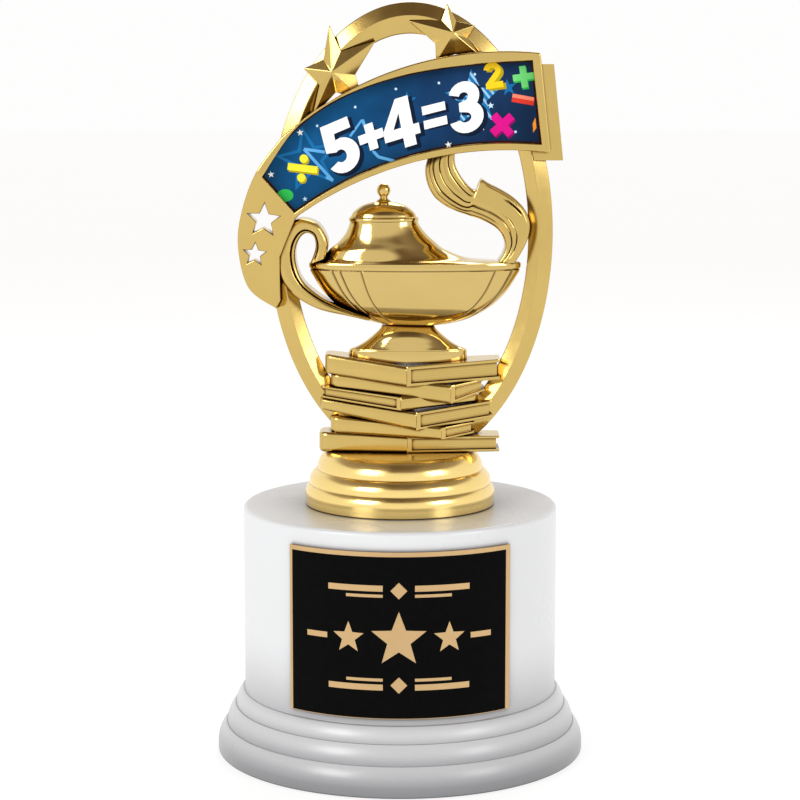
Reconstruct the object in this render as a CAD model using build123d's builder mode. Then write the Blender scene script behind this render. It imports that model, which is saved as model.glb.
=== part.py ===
"""Lamp-of-knowledge award: a moulded gold figure on a gold riser, bolted to a weighted round base.

Frame: millimetres, +Z up, origin at the centre of the underside, front towards -Y.
A front view is drawn in Plane.XZ, where a point is (x, z) and an offset of d lies at y = -d.
"""

import os
from math import cos, degrees, hypot, radians, sin

from build123d import *

# ---------------------------------------------------------------- driving dimensions
# Base: a round, stepped pedestal on a 4 inch foot
FOOT_R = 50.8
BODY_R = 43.2
BODY_BOTTOM = 17.8
BASE_TOP = 69.4
TOP_EDGE_R = 1.2
RIM_BOTTOM = 0.4
WALL = 2.6
COVER_R = 47.4
COVER_T = 1.4
FELT_R = 46.6
FELT_T = 1.0
WEIGHT_R = 38.0
WEIGHT_T = 9.0
BOSS_R = 7.0
BOSS_L = 10.0
WEB_T = 1.6
WEB_DEPTH = 7.0

# Rod, washers and nuts, 1/4-20 thread
ROD_R = 3.175
ROD_HOLE_R = 3.4
NUT_FLATS = 11.1
NUT_T = 5.6
JAM_NUT_T = 4.0
WASHER_R = 9.5
WASHER_T = 1.3
LOCK_WASHER_R = 5.9
LOCK_WASHER_T = 1.6
THREAD_TAIL = 3.0

# Riser: three rounded bands
RISER_R = 26.0
RISER_TOP = 84.3
RISER_TOP_R = 19.8
RISER_TUBE_R = 6.5

# Engraving plate: a 1 3/4 x 2 1/2 inch sheet rolled round the body
PLATE_H = 44.45
PLATE_W = 63.5
PLATE_T = 0.5
PLATE_BOTTOM = 19.9
TAPE_T = 0.25
TAPE_MARGIN = 1.5

# Arch: an upright ellipse with a roof-shaped section
ARCH_CENTRE = (2.85, 143.7)
ARCH_OUTER = (38.7, 62.4)
ARCH_RIDGE = (34.9, 58.7)
ARCH_INNER = (32.1, 54.0)
RIDGE_FLAT = 0.15
RIDGE_Y = 2.8
EDGE_Y = 1.2

# Ribbon: a flat panel in front of the arch, with a tail that slopes back beside it
RIBBON_BACK = RIDGE_Y
RIBBON_FRONT = 6.8
INSERT_DEPTH = 1.2
INSERT_T = 0.8
TAIL_SLOPE = 13.0
TAIL_T = 3.2
FOLD_T = 3.0

# Lamp: round bodies flattened front to back
BOWL_X = 4.1
BOWL_BOTTOM = 118.9
BOWL_NECK = 7.1
RIM_Z = 136.2
BOWL_FLATTEN = 0.36
LID_X = -4.45
LID_Z = 147.3
LID_TOP = 152.5
LID_FLATTEN = 0.66
BALL_R = 1.9
BALL_Z = 155.6
LAMP_FOOT_X = 2.2
LAMP_FOOT_BOTTOM = 109.0

# Handle and flame: half depths, each wall upright as far as the first of its two
HANDLE_Y = (4.2, 5.4, 6.2)
FLAME_Y = (2.6, 4.2, 5.2)
ROUND_OVER = (1.0, 0.86, 0.5)

# Books: half depths at the ends and at the near corner
BOOK_END_Y = 5.0
BOOK_CORNER_Y = 10.0
BOARD_SHARE = 0.17
PAGE_INSET = 0.8
SPINE_T = 1.3

# Stars: half thickness at the rim and at the peak
STAR_RIM_Y = 3.0
STAR_PEAK_Y = 5.2

FAR = 120.0

os.makedirs("parts", exist_ok=True)


def save(builder, name):
    """Labels a finished sub-part and writes it to its own STEP file."""
    builder.part.label = name
    export_step(builder.part, f"parts/{name}.step")


def cut_by(*neighbours):
    """Takes the neighbours' solids out of the part being built."""
    for neighbour in neighbours:
        add(neighbour.part, mode=Mode.SUBTRACT)


def bulge(start, end, sag):
    """An arc from start to end that swells by sag to the right of the way it runs."""
    run, rise = end[0] - start[0], end[1] - start[1]
    length = hypot(run, rise)
    middle = ((start[0] + end[0]) / 2 + sag * rise / length, (start[1] + end[1]) / 2 - sag * run / length)
    ThreePointArc(start, middle, end)


def regular_star(centre, reach):
    """The ten corners of a five-pointed star that leans a little, its first point uppermost."""
    corners = []
    for i in range(10):
        turn = radians(86 + 36 * i)
        radius = reach * 0.45 if i % 2 else reach
        corners.append((centre[0] + radius * cos(turn), centre[1] + radius * sin(turn)))
    return corners


# ---------------------------------------------------------------- base
with BuildPart() as felt_pad:
    with BuildSketch():
        Circle(FELT_R)
    extrude(amount=FELT_T)
save(felt_pad, "felt_pad")

COVER_TOP = FELT_T + COVER_T

with BuildPart() as bottom_cover:
    with BuildSketch(Plane.XY.offset(FELT_T)):
        Circle(COVER_R)
    extrude(amount=COVER_T)
save(bottom_cover, "bottom_cover")

with BuildPart() as weight_disc:
    with BuildSketch(Plane.XY.offset(COVER_TOP)):
        Circle(WEIGHT_R)
    extrude(amount=WEIGHT_T)
    chamfer(weight_disc.edges().group_by(Axis.Z)[-1], 1.0)
save(weight_disc, "weight_disc")

# Foot bands, bottom one first: outer radius and height at the start, then at the shoulder
BANDS = (
    ((FOOT_R, 3.0), (48.6, 8.3)),
    ((48.2, 8.3), (46.1, 13.5)),
    ((45.7, 13.5), (43.7, BODY_BOTTOM)),
)
BAND_SAG = 0.55
INNER_R = BODY_R - WALL
LEDGE_R = 45.2
SEAT_R = COVER_R + 0.2
CEILING = BASE_TOP - WALL
BOSS_END = CEILING - BOSS_L

with BuildPart() as base_shell:
    with BuildSketch(Plane.XZ):
        with BuildLine():
            corner = (FOOT_R, RIM_BOTTOM)
            Line((SEAT_R, RIM_BOTTOM), corner)
            for start, shoulder in BANDS:
                Line(corner, start)
                bulge(start, shoulder, BAND_SAG)
                corner = shoulder
            Polyline(corner, (BODY_R, BODY_BOTTOM), (BODY_R, BASE_TOP), (ROD_HOLE_R, BASE_TOP))
            Polyline((ROD_HOLE_R, BASE_TOP), (ROD_HOLE_R, BOSS_END), (BOSS_R, BOSS_END), (BOSS_R, CEILING))
            Polyline((BOSS_R, CEILING), (INNER_R, CEILING), (INNER_R, BODY_BOTTOM), (LEDGE_R, 9.0))
            Polyline((LEDGE_R, 9.0), (LEDGE_R, COVER_TOP), (SEAT_R, COVER_TOP), (SEAT_R, RIM_BOTTOM))
        make_face()
    revolve(axis=Axis.Z)
    top_edges = base_shell.edges().filter_by(GeomType.CIRCLE).group_by(Axis.Z)[-1]
    fillet(top_edges.sort_by(SortBy.RADIUS)[-1], TOP_EDGE_R)
    # Four webs under the top tie the boss to the wall
    with BuildSketch(Plane.XY.offset(CEILING)):
        with PolarLocations((BOSS_R + INNER_R) / 2, 4, 45):
            Rectangle(INNER_R - BOSS_R + 0.8, WEB_T)
    extrude(amount=-WEB_DEPTH)
save(base_shell, "base_shell")

# ---------------------------------------------------------------- rod, washers and nuts
WASHER_BOTTOM = BOSS_END - WASHER_T
LOCK_BOTTOM = WASHER_BOTTOM - LOCK_WASHER_T
NUT_BOTTOM = LOCK_BOTTOM - NUT_T


def hex_nut(bottom, thickness):
    """A hexagon nut with its corners rounded off."""
    with BuildPart() as nut:
        with BuildSketch(Plane.XY.offset(bottom)):
            RegularPolygon(NUT_FLATS / 2, 6, major_radius=False)
            Circle(NUT_FLATS / 2 + 0.5, mode=Mode.INTERSECT)
            Circle(ROD_R, mode=Mode.SUBTRACT)
        extrude(amount=thickness)
    return nut


with BuildPart() as flat_washer:
    with BuildSketch(Plane.XY.offset(WASHER_BOTTOM)):
        Circle(WASHER_R)
        Circle(ROD_HOLE_R, mode=Mode.SUBTRACT)
    extrude(amount=WASHER_T)
save(flat_washer, "flat_washer")

with BuildPart() as lock_washer:
    with BuildSketch(Plane.XY.offset(LOCK_BOTTOM)):
        Circle(LOCK_WASHER_R)
        Circle(ROD_HOLE_R, mode=Mode.SUBTRACT)
        with Locations((LOCK_WASHER_R, 0)):
            Rectangle(LOCK_WASHER_R, 0.9, mode=Mode.SUBTRACT)
    extrude(amount=LOCK_WASHER_T)
save(lock_washer, "lock_washer")

base_nut = hex_nut(NUT_BOTTOM, NUT_T)
save(base_nut, "base_nut")

figure_nut = hex_nut(RISER_TOP, JAM_NUT_T)
save(figure_nut, "figure_nut")

with BuildPart() as threaded_rod:
    with BuildSketch(Plane.XY.offset(NUT_BOTTOM - THREAD_TAIL)):
        Circle(ROD_R)
    extrude(amount=RISER_TOP + JAM_NUT_T - NUT_BOTTOM + THREAD_TAIL)
    chamfer(threaded_rod.edges().filter_by(GeomType.CIRCLE), 0.6)
save(threaded_rod, "threaded_rod")


# ---------------------------------------------------------------- engraving plate
def rolled_sheet(inner_r, thickness, width, bottom, height):
    """A sheet rolled round the base's body, centred on the front."""
    outer_r = inner_r + thickness
    turn = degrees(width / outer_r)
    with BuildPart() as sheet:
        with BuildSketch(Plane.XY.offset(bottom)):
            with BuildLine():
                outer_arc = CenterArc((0, 0), outer_r, -90 - turn / 2, turn)
                inner_arc = CenterArc((0, 0), inner_r, -90 - turn / 2, turn)
                Line(outer_arc @ 0, inner_arc @ 0)
                Line(outer_arc @ 1, inner_arc @ 1)
            make_face()
        extrude(amount=height)
    return sheet


plate_tape = rolled_sheet(
    BODY_R, TAPE_T, PLATE_W - 2 * TAPE_MARGIN, PLATE_BOTTOM + TAPE_MARGIN, PLATE_H - 2 * TAPE_MARGIN
)
save(plate_tape, "plate_tape")

engraving_plate = rolled_sheet(BODY_R + TAPE_T, PLATE_T, PLATE_W, PLATE_BOTTOM, PLATE_H)
save(engraving_plate, "engraving_plate")

# ---------------------------------------------------------------- riser
with BuildPart() as riser:
    with BuildSketch(Plane.XZ):
        with BuildLine():
            Polyline((24.2, BASE_TOP), (RISER_R, BASE_TOP), (RISER_R, 71.8))
            bulge((RISER_R, 71.8), (25.3, 75.0), 0.35)
            Line((25.3, 75.0), (25.0, 75.2))
            bulge((25.0, 75.2), (23.3, 79.1), 0.6)
            Line((23.3, 79.1), (22.7, 79.3))
            bulge((22.7, 79.3), (RISER_TOP_R, RISER_TOP), 0.8)
            Polyline((RISER_TOP_R, RISER_TOP), (ROD_HOLE_R, RISER_TOP), (ROD_HOLE_R, BASE_TOP))
            Polyline((ROD_HOLE_R, BASE_TOP), (RISER_TUBE_R, BASE_TOP), (RISER_TUBE_R, 82.2))
            Polyline((RISER_TUBE_R, 82.2), (17.0, 82.2), (20.6, 78.0), (24.2, 72.0), (24.2, BASE_TOP))
        make_face()
    revolve(axis=Axis.Z)
save(riser, "riser")


# ---------------------------------------------------------------- arch
def arch_ellipse(radii, grow=0.0):
    """One of the arch's ellipses, drawn in the sketch in hand."""
    with Locations(ARCH_CENTRE):
        Ellipse(radii[0] + grow, radii[1] + grow)


with BuildPart() as full_arch:
    for rim, ridge_grow, way in ((ARCH_OUTER, RIDGE_FLAT, Mode.ADD), (ARCH_INNER, -RIDGE_FLAT, Mode.SUBTRACT)):
        with BuildSketch(Plane.XZ.offset(-EDGE_Y)):
            arch_ellipse(rim)
        extrude(amount=2 * EDGE_Y, mode=way)
        for side in (1, -1):
            with BuildSketch(Plane.XZ.offset(side * EDGE_Y)):
                arch_ellipse(rim)
            with BuildSketch(Plane.XZ.offset(side * RIDGE_Y)):
                arch_ellipse(ARCH_RIDGE, ridge_grow)
            loft(ruled=True, mode=way)

# Two stars pierced through the ribbon's tail, and through the arch where it passes behind them
with BuildPart() as star_holes:
    with BuildSketch(Plane.XZ.offset(-FAR / 2)):
        for centre, reach in (((-36.7, 148.0), 4.6), ((-39.3, 138.6), 3.2)):
            with BuildLine():
                Polyline(*regular_star(centre, reach), close=True)
            make_face()
    extrude(amount=FAR)

# ---------------------------------------------------------------- ribbon
RIGHT_TOP = (37.4, 192.6)
RIGHT_LOW = (40.3, 166.1)
SHOULDER = (-31.9, 170.0)
FOLD_TOP = (-38.1, 161.7)
FOLD_LOW = (-27.1, 149.4)
TAIL_TIP = (-33.6, 123.7)
INSERT_CORNERS = ((34.9, 190.2), (-36.4, 159.7), (-28.3, 150.6), (37.4, 168.8))

with BuildPart() as ribbon_tail:
    with BuildSketch(Plane.XZ.offset(-FAR / 2)):
        with BuildLine():
            Spline(FOLD_TOP, (-42.4, 151.0), (-43.8, 140.0), (-40.8, 129.1), TAIL_TIP)
            Polyline(TAIL_TIP, (-32.5, 126.0), (-32.5, 138.0), (-28.2, 148.3), FOLD_LOW, FOLD_TOP)
        make_face()
    extrude(amount=FAR)
    along = (FOLD_TOP[0] - FOLD_LOW[0], 0, FOLD_TOP[1] - FOLD_LOW[1])
    front = Plane(origin=(FOLD_LOW[0], -RIBBON_FRONT, FOLD_LOW[1]), x_dir=along, z_dir=(0, -1, 0))
    slope = front.rotated((TAIL_SLOPE, 0, 0))
    with BuildSketch(slope):
        Rectangle(2 * FAR, 2 * FAR)
    extrude(amount=FAR, mode=Mode.SUBTRACT)
    with BuildSketch(slope.offset(-TAIL_T)):
        Rectangle(2 * FAR, 2 * FAR)
    extrude(amount=-FAR, mode=Mode.SUBTRACT)
    # Low down, the tail stops at the arch's outer edge
    with BuildSketch(Plane.XZ.offset(-FAR / 2)):
        arch_ellipse(ARCH_OUTER)
        with Locations((0, 140.5)):
            Rectangle(FAR, FAR, align=(Align.CENTER, Align.MIN), mode=Mode.SUBTRACT)
    extrude(amount=FAR, mode=Mode.SUBTRACT)

with BuildPart() as ribbon:
    with BuildSketch(Plane.XZ.offset(RIBBON_BACK)) as panel_outline:
        with BuildLine():
            ThreePointArc(RIGHT_TOP, (0.0, 188.5), SHOULDER)
            Spline(SHOULDER, (-35.6, 165.8), FOLD_TOP)
            Line(FOLD_TOP, FOLD_LOW)
            ThreePointArc(FOLD_LOW, (0.0, 162.5), RIGHT_LOW)
            Line(RIGHT_LOW, RIGHT_TOP)
        make_face()
        fillet(panel_outline.vertices().sort_by(Axis.X)[-1:], 1.0)
        fillet(panel_outline.vertices().group_by(Axis.Y)[-1], 1.6)
    extrude(amount=RIBBON_FRONT - RIBBON_BACK)
    add(ribbon_tail.part)
    # Pocket for the printed insert
    with BuildSketch(Plane.XZ.offset(RIBBON_FRONT - INSERT_DEPTH)) as insert_outline:
        with BuildLine():
            Spline(INSERT_CORNERS[0], (18.0, 189.0), (0.0, 186.0), (-16.0, 180.2), (-27.6, 172.2), INSERT_CORNERS[1])
            Line(INSERT_CORNERS[1], INSERT_CORNERS[2])
            ThreePointArc(INSERT_CORNERS[2], (0.0, 164.9), INSERT_CORNERS[3])
            Line(INSERT_CORNERS[3], INSERT_CORNERS[0])
        make_face()
    extrude(amount=INSERT_DEPTH, mode=Mode.SUBTRACT)
    cut_by(star_holes, full_arch)
save(ribbon, "ribbon")

with BuildPart() as insert_panel:
    with BuildSketch(Plane.XZ.offset(RIBBON_FRONT - INSERT_DEPTH)):
        add(insert_outline.sketch_local)
    extrude(amount=INSERT_T)
save(insert_panel, "insert_panel")

# The ribbon's right end folds back beside the arch
with BuildPart() as ribbon_fold:
    with BuildSketch(Plane.XZ.offset(RIBBON_BACK)):
        with BuildLine():
            Polyline((22.0, 189.6), (41.4, 189.6), (44.1, 163.8), (30.0, 163.8), close=True)
        make_face()
        with Locations(ARCH_CENTRE):
            Ellipse(ARCH_RIDGE[0] + 0.6, ARCH_RIDGE[1] + 0.6, mode=Mode.SUBTRACT)
    extrude(amount=-FOLD_T)
    cut_by(full_arch)
save(ribbon_fold, "ribbon_fold")

# ---------------------------------------------------------------- lamp
BOWL_PROFILE = ((BOWL_NECK, BOWL_BOTTOM), (9.8, 119.3), (15.2, 120.8), (20.7, 123.9), (25.0, 128.0), (28.6, 134.2))

with BuildPart() as lamp_bowl:
    with BuildSketch(Plane.XZ):
        with BuildLine():
            Spline(*[(BOWL_X + r, z) for r, z in BOWL_PROFILE])
            Polyline((BOWL_X + 28.6, 134.2), (BOWL_X + 28.9, RIM_Z), (BOWL_X, RIM_Z), (BOWL_X, BOWL_BOTTOM))
            Line((BOWL_X, BOWL_BOTTOM), (BOWL_X + BOWL_NECK, BOWL_BOTTOM))
        make_face()
    revolve(axis=Axis((BOWL_X, 0, 0), (0, 0, 1)))
    scale(by=(1, BOWL_FLATTEN, 1))
save(lamp_bowl, "lamp_bowl")

# Height, left end, right end and half depth of each level of the shoulder
SHOULDER_LEVELS = (
    (RIM_Z, -24.2, 32.7, 10.2),
    (137.3, -20.9, 18.4, 9.4),
    (139.6, -19.2, 12.2, 8.7),
    (141.6, -16.8, 9.6, 8.0),
    (143.9, -14.9, 7.1, 7.2),
    (LID_Z, -13.7, 4.9, 6.4),
)

with BuildPart() as lamp_shoulder:
    for z, left, right, depth in SHOULDER_LEVELS:
        with BuildSketch(Plane.XY.offset(z)):
            with Locations(((left + right) / 2, 0)):
                Ellipse((right - left) / 2, depth)
    loft(ruled=True)
save(lamp_shoulder, "lamp_shoulder")

with BuildPart() as lamp_lid:
    with BuildSketch(Plane.XZ):
        with BuildLine():
            Polyline((LID_X, LID_Z), (LID_X + 9.4, LID_Z), (LID_X + 9.2, 148.2))
            Spline((LID_X + 9.2, 148.2), (LID_X + 8.2, 149.8), (LID_X + 5.8, 151.6), (LID_X + 2.3, LID_TOP))
            Polyline((LID_X + 2.3, LID_TOP), (LID_X, LID_TOP), (LID_X, LID_Z))
        make_face()
    revolve(axis=Axis((LID_X, 0, 0), (0, 0, 1)))
    scale(by=(1, LID_FLATTEN, 1))
save(lamp_lid, "lamp_lid")

with BuildPart() as lamp_finial:
    with Locations((LID_X, 0, LID_TOP)):
        Cone(1.7, 0.9, BALL_Z - LID_TOP, align=(Align.CENTER, Align.CENTER, Align.MIN))
    with Locations((LID_X, 0, BALL_Z)):
        Sphere(BALL_R)
save(lamp_finial, "lamp_finial")

# Height, half width and half depth of each level of the lamp's foot
LAMP_FOOT_LEVELS = (
    (LAMP_FOOT_BOTTOM, 16.2, 5.6),
    (112.2, 16.0, 5.5),
    (113.0, 14.0, 5.3),
    (114.2, 11.9, 5.0),
    (116.2, 9.4, 4.4),
    (BOWL_BOTTOM, BOWL_NECK, BOWL_NECK * BOWL_FLATTEN),
)

with BuildPart() as lamp_foot:
    for z, width, depth in LAMP_FOOT_LEVELS:
        with BuildSketch(Plane.XY.offset(z)):
            with Locations((LAMP_FOOT_X, 0)):
                Ellipse(width, depth)
    loft(ruled=True)
save(lamp_foot, "lamp_foot")


def stroke(route, share):
    """The flat shape of a band along a route of (x, z, width), each width taken at the given share."""
    sides = ([], [])
    for i, (x, z, width) in enumerate(route):
        before, after = route[max(i - 1, 0)], route[min(i + 1, len(route) - 1)]
        run, rise = after[0] - before[0], after[1] - before[1]
        half = width * share / 2 / hypot(run, rise)
        sides[0].append((x - rise * half, z + run * half))
        sides[1].append((x + rise * half, z - run * half))
    with BuildSketch() as shape:
        with BuildLine():
            Spline(*sides[0])
            Spline(*sides[1])
            Line(sides[0][0], sides[1][0])
            Line(sides[0][-1], sides[1][-1])
        make_face()
    return shape.sketch


def rounded_band(route, depths):
    """A band with upright walls whose front and back faces round over in two steps."""
    with BuildPart() as band:
        with BuildSketch(Plane.XZ.offset(-depths[0])):
            add(stroke(route, 1.0))
        extrude(amount=2 * depths[0])
        for side in (1, -1):
            for depth, share in zip(depths, ROUND_OVER):
                with BuildSketch(Plane.XZ.offset(side * depth)):
                    add(stroke(route, share))
            loft(ruled=True)
    return band


HANDLE_ROUTE = (
    (-8.5, 120.3, 1.0),
    (-16.3, 122.3, 2.4),
    (-23.6, 125.4, 3.2),
    (-29.4, 130.1, 3.4),
    (-32.1, 135.6, 4.1),
    (-31.8, 140.9, 4.5),
    (-29.2, 144.7, 4.0),
    (-25.3, 146.0, 3.9),
    (-22.0, 144.4, 3.8),
    (-20.5, 140.8, 3.5),
    (-21.4, 137.6, 3.0),
    (-22.8, 135.6, 2.4),
)

with BuildPart() as lamp_handle:
    add(rounded_band(HANDLE_ROUTE, HANDLE_Y).part)
    cut_by(full_arch, ribbon, lamp_bowl, lamp_shoulder)
save(lamp_handle, "lamp_handle")

FLAME_ROUTE = (
    (29.2, 136.2, 5.0),
    (31.6, 140.0, 5.6),
    (32.2, 144.0, 7.0),
    (30.8, 148.4, 8.6),
    (27.0, 151.4, 8.4),
    (21.4, 152.6, 7.8),
    (15.8, 154.2, 8.4),
    (12.0, 157.6, 8.8),
    (10.8, 162.0, 8.4),
    (12.4, 167.0, 6.8),
)

with BuildPart() as lamp_flame:
    add(rounded_band(FLAME_ROUTE, FLAME_Y).part)
    # The curl on the flame's upper edge
    with BuildSketch(Plane.XZ.offset(-FLAME_Y[0])):
        with BuildLine():
            Spline((31.0, 153.2), (26.9, 155.7), (22.0, 158.9))
            Polyline((22.0, 158.9), (21.2, 156.6), (19.6, 155.0), (27.0, 150.6), (31.0, 153.2))
        make_face()
    extrude(amount=2 * FLAME_Y[0])
    # The flame rises from the plane of the lamp's rim
    with BuildSketch(Plane.XY.offset(RIM_Z)):
        Rectangle(FAR, FAR)
    extrude(amount=-FAR, mode=Mode.SUBTRACT)
    cut_by(full_arch, ribbon, lamp_shoulder)
save(lamp_flame, "lamp_flame")


# ---------------------------------------------------------------- books
def book_slab(ends, low, high, inset):
    """The solid between two shares of a book's height, drawn in from its page edge by inset.

    Each end is (x, bottom, top, half depth), in the order spine end, near corner, page end.
    """
    points = []
    for i, (x, bottom, top, depth) in enumerate(ends):
        page_side = 1 if ends[2][0] > ends[0][0] else -1
        x -= page_side * inset * (-0.6, -0.6, 1.0)[i] * (i > 0)
        for share in (low, high):
            z = bottom + (top - bottom) * share
            points += [(x, depth - inset * (i > 0), z), (x, -depth + inset * (i > 0), z)]
    ConvexPolyhedron(points)


def spine_slab(ends, side):
    """The upright board between the spine end and the near corner, on one side of the book."""
    points = []
    for x, bottom, top, depth in ends[:2]:
        for z in (bottom, top):
            points += [(x, side * depth, z), (x, side * (depth - SPINE_T), z)]
    ConvexPolyhedron(points)


def book(ends):
    """A closed book: two boards and a spine round a set-back block of pages."""
    with BuildPart() as volume:
        book_slab(ends, BOARD_SHARE, 1 - BOARD_SHARE, PAGE_INSET)
        book_slab(ends, 0, BOARD_SHARE, 0)
        book_slab(ends, 1 - BOARD_SHARE, 1, 0)
        for side in (1, -1):
            spine_slab(ends, side)
    return volume


END_Y, CORNER_Y = BOOK_END_Y, BOOK_CORNER_Y

# Bottom book first: spine end, near corner, page end
BOOKS = (
    ((-22.2, 84.3, 89.9, END_Y), (2.0, 84.3, 88.9, 7.0), (27.2, 84.5, 88.8, END_Y)),
    ((-19.1, 89.7, 94.2, END_Y), (11.2, 88.4, 91.8, CORNER_Y), (20.3, 89.6, 92.8, END_Y)),
    ((-21.7, 96.2, 99.2, END_Y), (4.4, 91.0, 95.9, CORNER_Y), (25.2, 93.9, 98.6, END_Y)),
    ((21.0, 98.2, 101.2, END_Y), (0.3, 96.4, 100.1, CORNER_Y), (-21.2, 99.4, 102.5, END_Y)),
    ((-18.9, 102.1, 106.0, END_Y), (13.7, 98.3, 103.3, CORNER_Y), (23.1, 101.3, 104.6, END_Y)),
    ((-20.5, 106.1, 111.4, END_Y), (1.8, 103.0, 108.4, CORNER_Y), (27.3, 104.4, 110.0, END_Y)),
)

books = [book(ends) for ends in BOOKS]

with BuildPart() as arch:
    add(full_arch.part)
    cut_by(star_holes)
    # The arch stands on the bottom book
    with BuildSketch(Plane.XY.offset(BOOKS[0][1][1] + 2)):
        Rectangle(2 * FAR, 2 * FAR)
    extrude(amount=-FAR, mode=Mode.SUBTRACT)
    cut_by(books[0])
save(arch, "arch")

for i, volume in enumerate(books):
    with BuildPart() as finished:
        add(volume.part)
        if i == 0:
            cut_by(figure_nut, threaded_rod)
        else:
            cut_by(arch)
        cut_by(lamp_foot, *books[i + 1 :])
    save(finished, f"book_{i + 1}")

# ---------------------------------------------------------------- stars on the arch's shoulders
STARS = {
    "star_left": (
        (-18.2, 187.5),
        ((-19.0, 199.9), (-15.8, 193.0), (-6.6, 195.7), (-12.1, 186.7), (-9.7, 179.5)),
        ((-17.2, 182.1), (-23.7, 175.2), (-21.7, 184.0), (-25.9, 188.4), (-20.6, 190.8)),
    ),
    "star_right": (
        (14.2, 197.9),
        ((12.6, 205.6), (15.2, 201.0), (20.1, 199.9), (18.1, 196.5), (21.7, 191.7)),
        ((14.7, 192.2), (9.7, 190.1), (9.5, 195.1), (2.5, 201.0), (11.0, 201.2)),
    ),
}

for name, (peak, first_half, second_half) in STARS.items():
    with BuildPart() as star:
        with BuildSketch(Plane.XZ.offset(-STAR_RIM_Y)) as star_outline:
            with BuildLine():
                Polyline(*first_half, *second_half, close=True)
            make_face()
        extrude(amount=2 * STAR_RIM_Y)
        for side in (1, -1):
            with BuildSketch(Plane.XZ.offset(side * STAR_RIM_Y)) as rim_face:
                add(star_outline.sketch_local)
            loft(sections=[rim_face.sketch.face(), Vertex(peak[0], -side * STAR_PEAK_Y, peak[1])], ruled=True)
        cut_by(full_arch, ribbon)
    save(star, name)
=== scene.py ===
"""The award trophy's looks: smooth gold relief pieces, a glossy white base, a printed ribbon insert and an
engraved plate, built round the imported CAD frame.

Shapes are worked out in millimetres in the row frame (+Z up, front towards -Y) and written in metres.
"""

from contextlib import contextmanager
from math import atan2, cos, hypot, pi, radians, sin, sqrt, tan

import bmesh
import bpy
from mathutils import Matrix, Vector


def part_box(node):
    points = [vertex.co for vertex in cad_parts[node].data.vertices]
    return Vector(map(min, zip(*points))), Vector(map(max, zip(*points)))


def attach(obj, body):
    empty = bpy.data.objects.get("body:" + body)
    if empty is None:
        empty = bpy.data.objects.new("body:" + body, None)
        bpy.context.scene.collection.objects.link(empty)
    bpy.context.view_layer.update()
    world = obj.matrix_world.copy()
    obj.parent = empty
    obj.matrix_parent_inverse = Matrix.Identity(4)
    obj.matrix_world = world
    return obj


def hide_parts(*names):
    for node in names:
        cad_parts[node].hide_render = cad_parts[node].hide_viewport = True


MM = 0.001
# Sockets of a colour Mix node
MIX_FACTOR, MIX_FIRST, MIX_SECOND, MIX_RESULT = 0, 6, 7, 2
MERGE = 1e-5
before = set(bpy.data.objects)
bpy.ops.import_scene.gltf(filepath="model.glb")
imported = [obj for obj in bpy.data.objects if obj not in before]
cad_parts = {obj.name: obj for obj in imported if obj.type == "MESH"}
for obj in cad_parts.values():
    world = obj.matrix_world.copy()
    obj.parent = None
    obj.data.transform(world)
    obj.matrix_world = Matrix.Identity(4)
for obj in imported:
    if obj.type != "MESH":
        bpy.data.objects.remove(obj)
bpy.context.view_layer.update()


def node_box(node):
    """A CAD node's lowest and highest corners in millimetres."""
    low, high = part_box(node)
    return [v / MM for v in low], [v / MM for v in high]


# ---- materials
def colour_mix(tree, blend, factor, first, second):
    """Adds a colour mix; each value is a colour, a number for the factor, or another node's output."""
    node = tree.nodes.new("ShaderNodeMix")
    node.data_type = "RGBA"
    node.blend_type = blend
    for value, place in ((factor, MIX_FACTOR), (first, MIX_FIRST), (second, MIX_SECOND)):
        if isinstance(value, bpy.types.NodeSocket):
            tree.links.new(value, node.inputs[place])
        else:
            node.inputs[place].default_value = value if place == MIX_FACTOR else (*value, 1.0)
    return node.outputs[MIX_RESULT]


def colour_ramp(tree, factor, stops):
    """Adds a ramp through stops of (place, colour)."""
    node = tree.nodes.new("ShaderNodeValToRGB")
    elements = node.color_ramp.elements
    while len(elements) < len(stops):
        elements.new(1.0)
    for element, (place, colour) in zip(elements, stops):
        element.position = place
        element.color = (*colour, 1.0)
    tree.links.new(factor, node.inputs["Fac"])
    return node


class Nodes:
    """A material's node tree, with short ways to add nodes and link them."""

    def __init__(self, name):
        self.material = bpy.data.materials.new(name)
        self.material.use_nodes = True
        self.tree = self.material.node_tree
        self.shader = self.tree.nodes["Principled BSDF"]

    def add(self, kind, **values):
        node = self.tree.nodes.new(kind)
        for key, value in values.items():
            if key in node.inputs:
                node.inputs[key].default_value = value
            else:
                setattr(node, key, value)
        return node

    def link(self, source, target):
        self.tree.links.new(source, target)

    def set(self, **values):
        for key, value in values.items():
            self.shader.inputs[key.replace("_", " ")].default_value = value

    def coords(self):
        return self.add("ShaderNodeTexCoord").outputs["Object"]

    def noise(self, scale, detail=3.0, roughness=0.5):
        node = self.add("ShaderNodeTexNoise", Scale=scale, Detail=detail, Roughness=roughness)
        self.link(self.coords(), node.inputs["Vector"])
        return node.outputs["Fac"]

    def ramp(self, factor, *stops):
        return colour_ramp(self.tree, factor, stops).outputs["Color"]

    def grey_ramp(self, factor, low, high, start=0.3, end=0.7):
        return self.ramp(factor, (start, (low, low, low)), (end, (high, high, high)))

    def mix(self, factor, first, second, blend="MIX"):
        return colour_mix(self.tree, blend, factor, first, second)

    def colour(self, source):
        self.link(source, self.shader.inputs["Base Color"])

    def uneven_roughness(self, scale, low, high):
        self.link(self.grey_ramp(self.noise(scale), low, high), self.shader.inputs["Roughness"])

    def bump(self, height, strength, distance):
        node = self.add("ShaderNodeBump", Strength=strength, Distance=distance)
        self.link(height, node.inputs["Height"])
        self.link(node.outputs["Normal"], self.shader.inputs["Normal"])


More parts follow.
